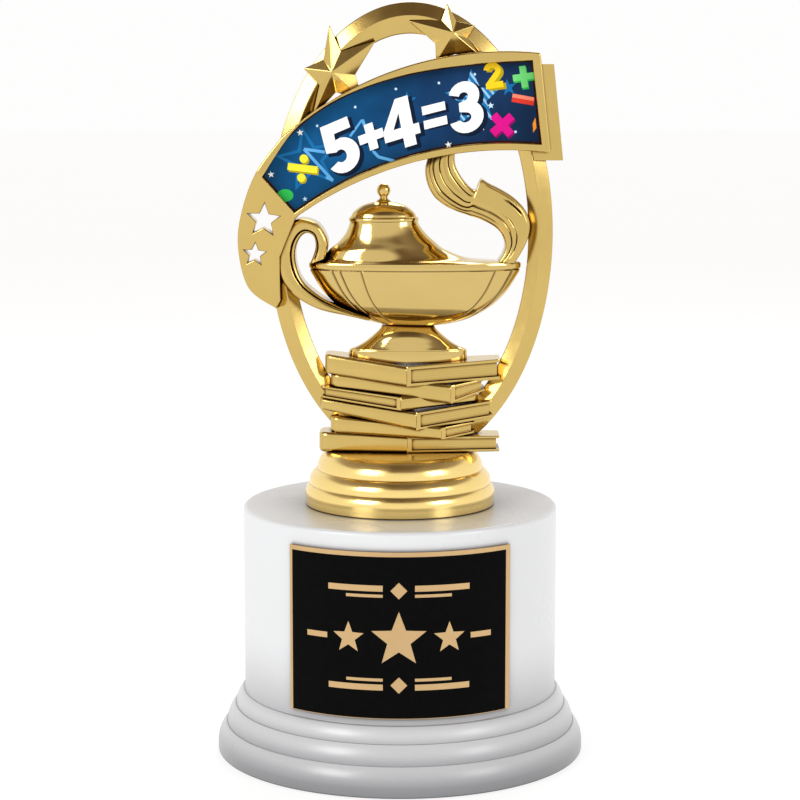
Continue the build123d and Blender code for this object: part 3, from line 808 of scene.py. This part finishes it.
# Edges of the handle and the flame as (x, z) pairs: the left-hand edge of the way along, then the right-hand edge
HANDLE_EDGES = (
    ((-8.5, 120.4), (-8.5, 121.4)), ((-14.2, 121.7), (-14.6, 123.5)), ((-21.4, 123.3), (-20.4, 126.3)),
    ((-27.0, 126.1), (-24.6, 129.4)), ((-30.6, 129.3), (-26.8, 132.0)), ((-33.0, 133.3), (-28.0, 135.2)),
    ((-33.8, 138.1), (-28.4, 138.6)), ((-33.0, 142.5), (-27.9, 141.3)), ((-31.0, 146.0), (-26.8, 143.3)),
    ((-28.2, 147.9), (-25.6, 144.2)), ((-25.4, 148.1), (-24.4, 144.1)), ((-22.2, 146.8), (-23.3, 143.2)),
    ((-20.2, 144.1), (-22.9, 141.2)), ((-19.4, 141.3), (-23.2, 139.2)), ((-20.2, 137.6), (-24.4, 136.0)),
)
FLAME_EDGES = (
    ((26.3, 136.0), (31.3, 136.2)), ((28.0, 138.7), (33.1, 139.2)), ((28.5, 141.3), (34.6, 142.4)),
    ((27.6, 143.8), (35.3, 145.8)), ((26.5, 145.2), (34.8, 148.6)), ((25.2, 146.2), (33.4, 151.2)),
    ((23.4, 147.2), (30.8, 153.8)), ((21.4, 148.1), (27.3, 156.0)), ((19.8, 148.6), (23.9, 157.7)),
    ((18.8, 148.9), (22.0, 158.8)), ((18.0, 149.2), (21.5, 157.2)), ((17.1, 149.5), (20.7, 156.0)),
    ((15.6, 150.0), (19.6, 156.1)), ((14.0, 150.7), (17.9, 157.7)), ((12.4, 151.5), (16.7, 159.3)),
    ((10.7, 152.7), (15.8, 160.8)), ((9.2, 154.1), (15.1, 162.3)), ((7.6, 156.9), (14.8, 164.2)),
    ((6.8, 160.5), (15.0, 166.0)), ((7.2, 163.5), (15.8, 167.5)), ((8.4, 166.5), (17.0, 168.8)),
)


# A relief: how many steps lie across its face, how far in its side walls' own points lie, how much shade is painted
# on those walls, and how much shade is painted in a groove
ACROSS = 56
WALL_IN = 0.7
WALL_SHADE = 0.12
LINE_DARK = 0.62


def relief(name, edges, section, back_share=lambda along: 1.0):
    """A solid between two edges. section gives, for a share across (-1 at the right-hand edge, 1 at the
    left-hand edge) and a share along, the half depth and how much shade is painted there, most deep in a groove.
    back_share says how much of that depth the back has."""
    left = smooth_path([pair[0] for pair in edges], 8)
    right = smooth_path([pair[1] for pair in edges], 8)
    shares = [-cos(pi * i / ACROSS) for i in range(ACROSS + 1)]
    rings = []
    painted_shades = []
    for n, (outer, inner) in enumerate(zip(left, right)):
        along = n / (len(left) - 1)
        front, back, dark = [], [], []
        for share in shares:
            deep, depth = section(share, along)
            blend = (share + 1) / 2
            x, z = (inner[k] * (1 - blend) + outer[k] * blend for k in (0, 1))
            front.append((x, -deep, z))
            back.append((x, deep * back_share(along), z))
            dark.append(depth)
        walls = [
            [(x, y + WALL_IN * way, z) for (x, y, z), way in ((front[end], 1), (back[end], -1))] for end in (-1, 0)
        ]
        rings.append(front + walls[0] + back[::-1] + walls[1][::-1])
        # Painted shade: the face's values, then the darker side walls
        painted_shades += dark + [WALL_SHADE] * 2 + dark[::-1] + [WALL_SHADE] * 2
    return faced_out(with_painted_shade(raw_mesh(name, skin(rings), FIGURE_GOLD), painted_shades))


def clamp(value):
    return min(1.0, max(0.0, value))


def wall_shade(share):
    """Painted shade: a thin darker line where the relief's face turns down into its side walls."""
    return 0.60 * clamp((abs(share) - 0.955) / 0.03)


def span(along, start, end, ramp=0.06):
    """1 between two shares along, 0 outside, with a soft start and end."""
    return clamp((along - start) / ramp) * clamp((end - along) / ramp)


def handle_section(share, along):
    """A broad rounded outer band, a groove, and a thin inner lip, with shade painted in the groove and at the edges.
    """
    edge = sqrt(max(0.0, 1 - abs(share) ** 6))
    fade = min(1.0, along * 8, (1 - along) * 14)
    line = groove(share + 0.56, 0.13) * fade
    swell = 0.5 * cos(min(1.0, abs(share - 0.2) / 0.8) * pi / 2)
    return 4.1 + 1.5 * edge + swell - 0.5 * line, max(LINE_DARK * line, wall_shade(share))


# The flame's grooves: depth, place across, how that place sways along the flame, half width, the shares along
# between which it runs (2 for one that runs on to the end), and how softly it starts and ends
FLAME_LINES = (
    (1.0, 0.44, lambda along: -0.04 * sin(2 * pi * along), 0.075, 0.0, 2.0, 0.06),
    (0.7, 0.72, lambda along: 0.0, 0.05, 0.22, 2.0, 0.06),
    (0.8, 0.08, lambda along: -0.10 * cos(2 * pi * along), 0.05, 0.0, 0.30, 0.06),
    (0.8, 0.05, lambda along: 0.0, 0.05, 0.50, 2.0, 0.06),
    (0.7, -0.25, lambda along: 0.0, 0.045, 0.62, 2.0, 0.06),
    (0.8, -0.52, lambda along: 0.0, 0.05, 0.54, 2.0, 0.06),
    (0.5, -0.86, lambda along: 0.0, 0.05, 0.12, 0.42, 0.06),
    (1.3, -0.66, lambda along: 0.5 * (along - 0.27), 0.07, 0.21, 0.33, 0.03),
)
# Painted shadow: from this share along, the flame darkens where it passes under the ribbon
UNDER_RIBBON = 0.915


def flame_section(share, along):
    """A rounded lip on the left hand, then flow grooves that run along the flame, with shade painted in the grooves
    and at the edges, and a painted shadow where the flame runs under the ribbon.
    """
    edge = sqrt(max(0.0, 1 - abs(share) ** 8))
    line = max(
        depth * groove(share - place - sway(along), width) * span(along, start, end, ramp)
        for depth, place, sway, width, start, end, ramp in FLAME_LINES
    )
    swell = 0.10 * cos(share * pi * 1.5)
    painted_ribbon_shadow = 0.9 * clamp((along - UNDER_RIBBON) / 0.02)
    dark = max(clamp(LINE_DARK * line), wall_shade(share), painted_ribbon_shadow)
    return 3.1 + 1.7 * edge + swell - 0.34 * line, dark


def flame_back(along):
    """The flame's back thins out behind the ribbon, towards its end."""
    thinning = clamp((along - 0.78) / 0.2)
    return 1 - 0.55 * thinning * thinning * (3 - 2 * thinning)


def build_handle_and_flame():
    piece(relief("lamp_handle_scroll", HANDLE_EDGES, handle_section), "lamp_handle", 50.0, weighted=False)
    flame = relief("lamp_flame_scroll", FLAME_EDGES, flame_section, flame_back)
    piece(flame, "lamp_flame", 50.0, weighted=False)


# ---- books
# Bottom book first: its spine end, near corner and page end, each (x, bottom z, top z, half depth), and how
# far its spine end rounds off
BOOKS = (
    ((-22.2, 84.3, 89.9, 5.0), (2.0, 84.3, 88.9, 7.0), (27.2, 84.5, 88.8, 5.0), 2.6),
    ((-19.1, 89.7, 94.2, 5.0), (11.2, 88.4, 91.8, 10.0), (20.3, 89.6, 92.8, 5.0), 2.2),
    ((-21.7, 96.2, 99.2, 5.0), (4.4, 91.0, 95.9, 10.0), (25.2, 93.9, 98.6, 5.0), 0.8),
    ((21.0, 98.2, 101.2, 5.0), (0.3, 96.4, 100.1, 10.0), (-21.2, 99.4, 102.5, 5.0), 0.8),
    ((-18.9, 102.1, 106.0, 5.0), (13.7, 98.3, 103.3, 10.0), (23.1, 101.3, 104.6, 5.0), 2.2),
    ((-20.5, 106.1, 111.4, 5.0), (1.8, 103.0, 108.4, 10.0), (27.3, 104.4, 110.0, 5.0), 1.6),
)
# Shares of a book's height at which its section has points
HEIGHTS = (0, 0.02, 0.05, 0.10, 0.15, 0.17, 0.18, 0.21, 0.27, 0.33, 0.39, 0.45, 0.51, 0.57, 0.63, 0.69, 0.75, 0.80)
HEIGHTS += (0.82, 0.83, 0.85, 0.90, 0.95, 0.98, 1.0)
BOARD = 0.165
SPINE_STEPS = 8
JOINT_WIDTH = 1.2
PAGE_INSET = 0.85
# Painted shade: between the page ridges, on the set-back page end, and next to the boards
PAGE_DARK, PAGE_END_DARK, PAGE_EDGE_DARK = 0.12, 0.5, 0.8
STEP = 0.02


def edge_roll(height):
    """How far a height is into the rolled-over edges of the cover, from 0 to 1."""
    return max(0.0, abs(2 * height - 1) - 0.9) * 10


def spine_line(height):
    """A spine's upright line: gently bulged, with its edges rolled over."""
    roll = abs(2 * height - 1)
    return 0.55 * roll**7 - 0.12 * (1 - roll**2), 0.0


def joint_line(height):
    """A flat upright line, where the spine meets the boards."""
    return 0.12 * edge_roll(height), 0.0


def page_line(height):
    """Two thin boards with the pages' block, ridged by its pages, set back between them, with shade painted between
    the page ridges and next to the boards.
    """
    if BOARD < height < 1 - BOARD:
        odd = HEIGHTS.index(height) % 2
        dark = PAGE_EDGE_DARK if min(height, 1 - height) - BOARD < 0.03 else PAGE_DARK * odd
        return PAGE_INSET + 0.05 * odd, dark
    return 0.12 * edge_roll(height) ** 2, 0.0


def book_stations(length, reach, rounding):
    """Places along a book, spine end first: how far along, its shares of the full depth and height, and its
    upright line. length is the spine's, reach the whole book's."""
    stations = []
    for k in range(SPINE_STEPS + 1):
        t = k / SPINE_STEPS
        bend = sqrt(1 - (1 - t) ** 2)
        stations.append((rounding * (1 - cos(pi / 2 * t)), 0.15 + 0.85 * bend, 0.55 + 0.45 * bend, spine_line))
    stations += [(length * share, 1.0, 1.0, spine_line) for share in (0.3, 0.6, 0.85)]
    joint = length + JOINT_WIDTH
    return stations + [
        (length - 0.25, 1.0, 1.0, spine_line),
        (length, 0.985, 1.0, spine_line),
        (length + STEP, 0.985, 1.0, joint_line),
        (length + 0.25, 1.0, 1.0, joint_line),
        (joint, 1.0, 1.0, joint_line),
        (joint + STEP, 1.0, 1.0, page_line),
        ((length + reach) / 2, 1.0, 1.0, page_line),
        (reach - PAGE_INSET, 1.0, 1.0, page_line),
        (reach - 0.12, 1.0, 1.0, page_line),
        (reach, 0.98, 1.0, page_line),
    ]


def build_books():
    for number, (spine_end, corner, page_end, rounding) in enumerate(BOOKS, start=1):
        way = 1 if page_end[0] > spine_end[0] else -1
        length = abs(corner[0] - spine_end[0])
        reach = abs(page_end[0] - spine_end[0])
        rings = []
        painted_shades = []
        for far, depth_share, height_share, line in book_stations(length, reach, rounding):
            if far <= length:
                first, second, t = spine_end, corner, far / length
            else:
                first, second, t = corner, page_end, (far - length) / (reach - length)
            low, high, deep = (first[k] * (1 - t) + second[k] * t for k in (1, 2, 3))
            middle, half = (low + high) / 2, (high - low) / 2 * height_share
            front, back, dark = [], [], []
            for height in HEIGHTS:
                x = spine_end[0] + way * far
                inset, shade = line(height)
                if far > reach - PAGE_INSET and BOARD < height < 1 - BOARD:
                    # The pages' end, set back between the boards, in painted shade
                    x = spine_end[0] + way * (reach - PAGE_INSET)
                    inset, shade = deep, PAGE_END_DARK
                y = max(0.0, deep * depth_share - inset)
                z = middle + half * (2 * height - 1)
                front.append((x, -y, z))
                back.append((x, y, z))
                dark.append(shade)
            rings.append(front + back[::-1])
            painted_shades += dark + dark[::-1]
        mesh = faced_out(with_painted_shade(raw_mesh(f"book_{number}_bound", skin(rings), FIGURE_GOLD), painted_shades))
        piece(mesh, f"book_{number}", 32.0, weighted=False)


# ---- stars
# Each star's peak, then its corners clockwise from the top tip, as (x, z)
STARS = {
    "star_left": (
        (-18.2, 187.5),
        ((-19.0, 199.9), (-15.8, 193.0), (-6.6, 195.7), (-12.1, 186.7), (-9.7, 179.5)),
        ((-17.2, 182.1), (-23.7, 175.2), (-21.7, 184.0), (-25.9, 188.4), (-20.6, 190.8)),
    ),
    "star_right": (
        (14.2, 197.9),
        ((12.6, 205.6), (15.2, 201.0), (20.1, 199.9), (18.1, 196.5), (21.7, 191.7)),
        ((14.7, 192.2), (9.7, 190.1), (9.5, 195.1), (2.5, 201.0), (11.0, 201.2)),
    ),
}
STAR_RIM_Y = 3.0
STAR_PEAK_Y = 5.2


def build_stars():
    for name, ((peak_x, peak_z), first, second) in STARS.items():
        corners = first + second
        count = len(corners)
        points = [(peak_x, -STAR_PEAK_Y, peak_z), (peak_x, STAR_PEAK_Y, peak_z)]
        points += [(x, y, z) for y in (-STAR_RIM_Y, STAR_RIM_Y) for x, z in corners]
        faces = []
        for i in range(count):
            a, b = 2 + i, 2 + (i + 1) % count
            faces += [(0, a, b), (1, count + a, count + b), (a, b, count + b, count + a)]
        piece(new_mesh(f"{name}_facets", (points, faces), FIGURE_GOLD), name, 8.0, bevel=0.16)


# ---- printed insert
FILM_T = 0.06
FILM_STEP = 0.045
FILM_EDGE = 0.004


def inlay(loops, colour, level):
    """Print on the insert: a thin film, level films up from the ground."""
    front = INSERT_FRONT + 0.02 + level * FILM_STEP
    return slab_mesh("film", loops, front, front - FILM_T, FILM_EDGE, INK[colour], 0)


def glyph_five():
    outline = [(0.06, 1.0), (0.64, 1.0), (0.64, 0.78), (0.29, 0.78), (0.275, 0.655)]
    outline += arc_points((0.33, 0.33), (0.35, 0.34), 80, -152, 16)
    outline += arc_points((0.30, 0.33), (0.115, 0.125), -140, 128, 12)
    return [outline + [(0.03, 0.48)]]


def glyph_three():
    outline = arc_points((0.32, 0.72), (0.31, 0.29), 165, -38, 14)
    outline += arc_points((0.33, 0.31), (0.35, 0.32), 45, -165, 14)
    outline += arc_points((0.31, 0.30), (0.12, 0.10), -155, 80, 10) + [(0.20, 0.425), (0.20, 0.60)]
    return [outline + arc_points((0.31, 0.715), (0.095, 0.085), -75, 170, 10)]


def glyph_two():
    outline = arc_points((0.32, 0.69), (0.33, 0.32), 172, -36, 14)
    outline += [(0.34, 0.24), (0.68, 0.24), (0.68, 0.0), (0.0, 0.0), (0.0, 0.19)]
    return [outline + arc_points((0.32, 0.69), (0.115, 0.10), -32, 172, 10)]


def glyph_four():
    outline = [(0.36, 1.0), (0.63, 1.0), (0.63, 0.41), (0.75, 0.41), (0.75, 0.20), (0.63, 0.20), (0.63, 0.0)]
    outline += [(0.38, 0.0), (0.38, 0.20), (0.0, 0.20), (0.0, 0.41)]
    return [outline, [(0.38, 0.41), (0.38, 0.71), (0.215, 0.41)]]


def cross_loop(half, arm):
    """A plus sign about the origin."""
    quarter = ((arm, arm), (arm, half), (-arm, half))
    turns = ((1, 0), (0, 1), (-1, 0), (0, -1))
    return [(x * c - z * s, x * s + z * c) for c, s in turns for x, z in quarter]


def glyph_plus():
    return [[(0.32 + x, 0.46 + z) for x, z in cross_loop(0.30, 0.105)]]


def glyph_equals():
    low = [(0.03, 0.20), (0.60, 0.20), (0.60, 0.40), (0.03, 0.40)]
    return [low, [(x, z + 0.34) for x, z in low]]


def placed(loops, spot, size, turn, slant=0.0):
    """Loops moved to a spot, scaled, turned by degrees and slanted."""
    c, s = cos(radians(turn)), sin(radians(turn))
    moved = []
    for loop in loops:
        line = []
        for x, z in loop:
            x, z = (x + slant * z) * size, z * size
            line.append((spot[0] + x * c - z * s, spot[1] + x * s + z * c))
        moved.append(line)
    return moved


def bar(start, end, width):
    """A straight stroke as a loop."""
    along = (Vector(end) - Vector(start)).normalized()
    side = Vector((-along.y, along.x)) * width / 2
    a, b = Vector(start), Vector(end)
    return [tuple(a - side), tuple(b - side), tuple(b + side), tuple(a + side)]


def ring_outline(loop, width):
    """A stroke along a closed loop: the loop with a smaller copy cut out."""
    return [grown(loop, width / 2), grown(loop, -width / 2)]


# Each sum character: glyph, place of its lower left corner, height and turn
SUM = (
    (glyph_five, (-18.2, 159.3), 13.6, 23.0),
    (glyph_plus, (-9.9, 163.9), 11.6, 20.0),
    (glyph_four, (-3.4, 165.9), 13.2, 17.0),
    (glyph_equals, (6.6, 169.9), 11.2, 14.0),
    (glyph_three, (13.9, 170.6), 13.4, 11.5),
)
SUM_SLANT = 0.10
SUM_SHADE = (0.9, -0.55)
SUPERSCRIPT_SIZE, SUPERSCRIPT_TURN = 6.9, 8.0
# Sky-blue strokes: start, end and width
STROKES = (
    ((-25.8, 167.0), (-20.2, 166.2), 0.8),
    ((-25.8, 167.0), (-18.4, 158.9), 0.8),
    ((-19.9, 159.6), (-18.0, 158.6), 0.9),
    ((-10.1, 174.9), (-7.6, 168.2), 0.8),
    ((-7.3, 166.6), (-5.8, 164.9), 0.8),
    ((-5.8, 164.9), (-1.5, 163.8), 0.8),
    ((-13.4, 170.4), (-10.2, 174.8), 0.6),
)
# Larger stars: centre, reach, lean, colour and level
BLUE_STARS = (
    ((19.8, 180.4), 8.0, 6, "hatched", 0.3),
    ((28.9, 183.4), 2.3, 10, "dim", 0.4),
    ((2.0, 179.8), 2.6, 5, "dim", 0.4),
)
TINY_STARS = (
    (-17.9, 172.6), (-26.8, 171.4), (15.7, 174.0), (24.3, 178.6),
    (22.1, 172.6), (13.0, 168.2), (-25.6, 153.6), (-34.7, 160.2),
)
DOTS = ((-22.2, 173.2), (-1.1, 183.0), (7.2, 172.8), (10.4, 184.6), (-12.0, 178.2), (31.0, 171.6), (20.0, 186.9))


def divide_films(spot, colour, level):
    """A divide sign: its bar and its two balls."""
    x, z = spot
    films = [inlay([bar((x - 4.0, z + 0.5), (x + 4.0, z - 0.5), 1.9)], colour, level)]
    for side in (1, -1):
        films.append(inlay([disc((x + 0.35 * side, z + 2.55 * side), (1.15, 1.15))], colour, level + 0.3))
    return films


def build_insert():
    films = [inlay(ring_outline(star_loop((-24.5, 164.2), 8.2, 12), 0.9), "dim", 0)]
    for k, stroke in enumerate(STROKES):
        films.append(inlay([bar(*stroke)], "sky", 0.1 + 0.02 * k))
    for centre, reach, lean, colour, level in BLUE_STARS:
        films.append(inlay([star_loop(centre, reach, lean)], colour, level))
    for k, spot in enumerate(TINY_STARS):
        star = star_loop(spot, 0.95 if k % 2 else 0.7, 8)
        films.append(inlay([star], "white" if k % 3 else "pale", 0.5))
    films += [inlay([disc(spot, (0.35, 0.35), 11)], "pale", 0.5) for spot in DOTS]
    for make, spot, size, turn in SUM:
        under = (spot[0] + SUM_SHADE[0], spot[1] + SUM_SHADE[1])
        outline, *holes = placed(make(), under, size, turn, SUM_SLANT)
        films.append(inlay([grown(outline, -0.3), *holes], "shade", 1))
        films.append(inlay(placed(make(), spot, size, turn, SUM_SLANT), "white", 2))
    # Each sign is printed twice: a darker copy, moved a little, and a lighter one
    for spot, colour, level in (((23.9, 182.4), "deep_yellow", 1), ((23.1, 182.9), "yellow", 2)):
        films.append(inlay(placed(glyph_two(), spot, SUPERSCRIPT_SIZE, SUPERSCRIPT_TURN), colour, level))
    films += divide_films((-25.85, 161.4), "deep_yellow", 1)
    films += divide_films((-26.2, 161.9), "light_yellow", 2)
    for spot, colour, level in (((27.7, 173.0), "deep_pink", 1), ((27.4, 173.5), "pink", 2)):
        films.append(inlay(placed([cross_loop(1.0, 0.32)], spot, 3.5, 42.0), colour, level))
    for spot, colour, level in (((33.3, 185.8), "green", 1), ((33.05, 186.25), "light_green", 2)):
        films.append(inlay(placed([cross_loop(1.0, 0.30)], spot, 2.9, 8.0), colour, level))
    films.append(inlay([bar((30.0, 180.6), (35.9, 179.6), 2.0)], "red", 1))
    films.append(inlay([bar((30.1, 181.3), (35.8, 180.3), 1.0)], "light_red", 2))
    films.append(inlay([disc((-30.9, 154.6), (2.2, 1.7))], "green", 1))
    films.append(inlay([[(35.7, 171.4), (36.6, 172.6), (36.3, 175.4), (35.6, 174.0)]], "orange", 1))
    piece(join("insert_print", films), None, 30.0, weighted=False)


# ---- plate
# The plate's face radius, and half its length round the body
PLATE_R = 43.95
PLATE_HALF = 31.75
PLATE_LOW = node_box("engraving_plate")[0][2]
PLATE_HIGH = node_box("engraving_plate")[1][2]


PLATE_FILM_T = 0.05
# The black field's distances from the plate's left, right, lower and upper edges
PLATE_MARGINS = (0.9, 1.5, 0.15, 1.2)
# Marks from the field's middle: the side star's place and reach, then rules with their ends, height and width
PLATE_STAR_REACH = 7.6
SIDE_STAR = (13.4, -0.2, 4.4)
SIDE_RULE = (19.4, 25.5, 0.0, 1.5)
ROW_RULES = ((4.2, 19.0, 13.2, 1.6), (4.2, 14.0, 11.2, 0.8))
DIAMOND_HALF = 2.2
DIAMOND_HEIGHT = 12.6


def wrapped(loops, material, lift):
    """A thin flat inlay, drawn as (length round the plate, height), rolled onto the plate's face."""
    mesh = slab_mesh("inlay", loops, PLATE_FILM_T, 0.0, FILM_EDGE, material, 0)
    with editing(mesh) as built:
        for k in range(-int(PLATE_HALF), int(PLATE_HALF) + 1):
            slice_at(built, (k, 0, 0), (1, 0, 0))
    for vertex in mesh.vertices:
        along, depth, height = vertex.co
        radius = PLATE_R + lift - depth
        angle = along / PLATE_R
        vertex.co = (radius * sin(angle), -radius * cos(angle), height)
    return mesh


def build_plate():
    left, right = PLATE_MARGINS[0] - PLATE_HALF, PLATE_HALF - PLATE_MARGINS[1]
    low, high = PLATE_LOW + PLATE_MARGINS[2], PLATE_HIGH - PLATE_MARGINS[3]
    parts = [wrapped([[(left, low), (right, low), (right, high), (left, high)]], PLATE_BLACK, 0.0)]
    x, z = (left + right) / 2, (low + high) / 2

    def rule(start, end, height, width):
        return bar((x + start, z + height), (x + end, z + height), width)

    marks = [star_loop((x, z - 0.5), PLATE_STAR_REACH)]
    for side in (-1, 1):
        marks.append(star_loop((x + side * SIDE_STAR[0], z + SIDE_STAR[1]), SIDE_STAR[2]))
        start, end, height, width = SIDE_RULE
        marks.append(rule(side * start, side * end, height, width))
        for row in (-1, 1):
            marks += [rule(side * start, side * end, row * height, width) for start, end, height, width in ROW_RULES]
    for row in (-1, 1):
        middle = z + row * DIAMOND_HEIGHT
        steps = ((1, 0), (0, 1), (-1, 0), (0, -1))
        marks.append([(x + DIAMOND_HALF * across, middle + DIAMOND_HALF * up) for across, up in steps])
    parts += [wrapped([loop], PLATE_GOLD, 0.04) for loop in marks]
    piece(join("plate_face", parts), None, 30.0, weighted=False)


build_bowl()
build_lamp_top()
build_lamp_foot()
build_handle_and_flame()
build_books()
build_stars()
build_insert()
build_plate()

# ---- CAD nodes that are shown as they are
NODE_MATERIALS = {
    "felt_pad": FELT,
    "bottom_cover": CARD,
    "weight_disc": IRON,
    "plate_tape": TAPE,
    "engraving_plate": PLATE_GOLD,
    "insert_panel": GROUND,
}
NODE_MATERIALS |= dict.fromkeys(("threaded_rod", "base_nut", "figure_nut", "flat_washer", "lock_washer"), ZINC)

for node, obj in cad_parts.items():
    for material_slot in obj.material_slots:
        material_slot.material = NODE_MATERIALS.get(node, FIGURE_GOLD)
    if node == "ribbon_fold":
        round_edges(obj, 0.22, 2, 20)


# ---- floor, lights and camera
FLOOR_HALF = 6.0
# Sky brightness along an axis, as (place from -1 to 1, brightness) stops: pale round the horizon and dark
# overhead, with darker stretches to one side and the other, and where those stretches show
SKY_HEIGHT = ((-0.1, 0.99), (0.05, 0.99), (0.49, 0.95), (0.64, 0.36), (0.9, 0.26))
SKY_BANDS = ((-0.95, 0.5), (-0.72, 1.0), (-0.42, 1.1), (-0.14, 0.50), (0.20, 0.55), (0.45, 1.0), (0.85, 0.6))
SKY_AHEAD = ((-0.25, 1.0), (0.1, 0.0))
SKY_ABOVE = ((0.5, 0.0), (0.64, 1.0))
SKY_WARMTH = 0.24
# Area lights: name, place, side and power
LIGHTS = (
    ("key_light", (-0.70, -0.70, 0.62), 0.45, 5.0),
    ("fill_light", (0.80, -0.60, 0.50), 0.4, 2.6),
    ("back_light", (0.1, 0.75, 0.9), 0.5, 3.0),
)
LIGHT_AIM = Vector((0, 0, 0.12))
CAMERA_PLACE = (0.0, -0.640, 0.190)
CAMERA_DIP = 8.18
CAMERA_LENS = 105.64


def build_floor():
    corners = [(FLOOR_HALF * x, FLOOR_HALF * y, 0) for x, y in ((-1, -1), (1, -1), (1, 1), (-1, 1))]
    nodes = Nodes("floor_paper")
    nodes.set(Roughness=0.9, Emission_Color=(1.0, 1.0, 1.0, 1.0), Emission_Strength=0.83)
    nodes.colour(nodes.mix(nodes.noise(4.0), (0.19, 0.19, 0.19), (0.21, 0.21, 0.21)))
    placed_object("floor", raw_mesh("floor", (corners, [(0, 1, 2, 3)]), nodes.material))


def build_sky():
    world = bpy.data.worlds.new("studio")
    bpy.context.scene.world = world
    world.use_nodes = True
    tree = world.node_tree
    direction = tree.nodes.new("ShaderNodeTexCoord")
    split = tree.nodes.new("ShaderNodeSeparateXYZ")
    tree.links.new(direction.outputs["Generated"], split.inputs["Vector"])

    def sky_ramp(axis, stops):
        stretch = tree.nodes.new("ShaderNodeMapRange")
        stretch.inputs["From Min"].default_value = -1.0
        tree.links.new(split.outputs[axis], stretch.inputs["Value"])
        shades = []
        for place, value in stops:
            warm = SKY_WARMTH * (1 - min(value, 1.0))
            shades.append((place / 2 + 0.5, (value, value * (1 - warm), value * (1 - 1.7 * warm))))
        ramp = colour_ramp(tree, stretch.outputs["Result"], shades)
        ramp.color_ramp.interpolation = "EASE"
        return ramp.outputs["Color"]

    bands = colour_mix(tree, "MULTIPLY", 1.0, sky_ramp("Z", SKY_HEIGHT), sky_ramp("X", SKY_BANDS))
    where = colour_mix(tree, "MULTIPLY", 1.0, sky_ramp("Y", SKY_AHEAD), sky_ramp("Z", SKY_ABOVE))
    sky = colour_mix(tree, "MIX", where, sky_ramp("Z", SKY_HEIGHT), bands)
    tree.links.new(sky, tree.nodes["Background"].inputs["Color"])
    tree.nodes["Background"].inputs["Strength"].default_value = 1.0


def build_lights():
    for name, place, side, power in LIGHTS:
        light = bpy.data.lights.new(name, "AREA")
        light.size = side
        light.energy = power
        lamp = placed_object(name, light)
        lamp.location = place
        lamp.rotation_euler = (LIGHT_AIM - lamp.location).to_track_quat("-Z", "Y").to_euler()


def build_camera():
    camera = placed_object("camera", bpy.data.cameras.new("camera"))
    camera.location = CAMERA_PLACE
    camera.rotation_euler = (radians(90 - CAMERA_DIP), 0.0, 0.0)
    camera.data.sensor_width = 36.0
    camera.data.lens = CAMERA_LENS
    bpy.context.scene.camera = camera
    bpy.context.scene.view_settings.view_transform = "Standard"


build_floor()
build_sky()
build_lights()
build_camera()
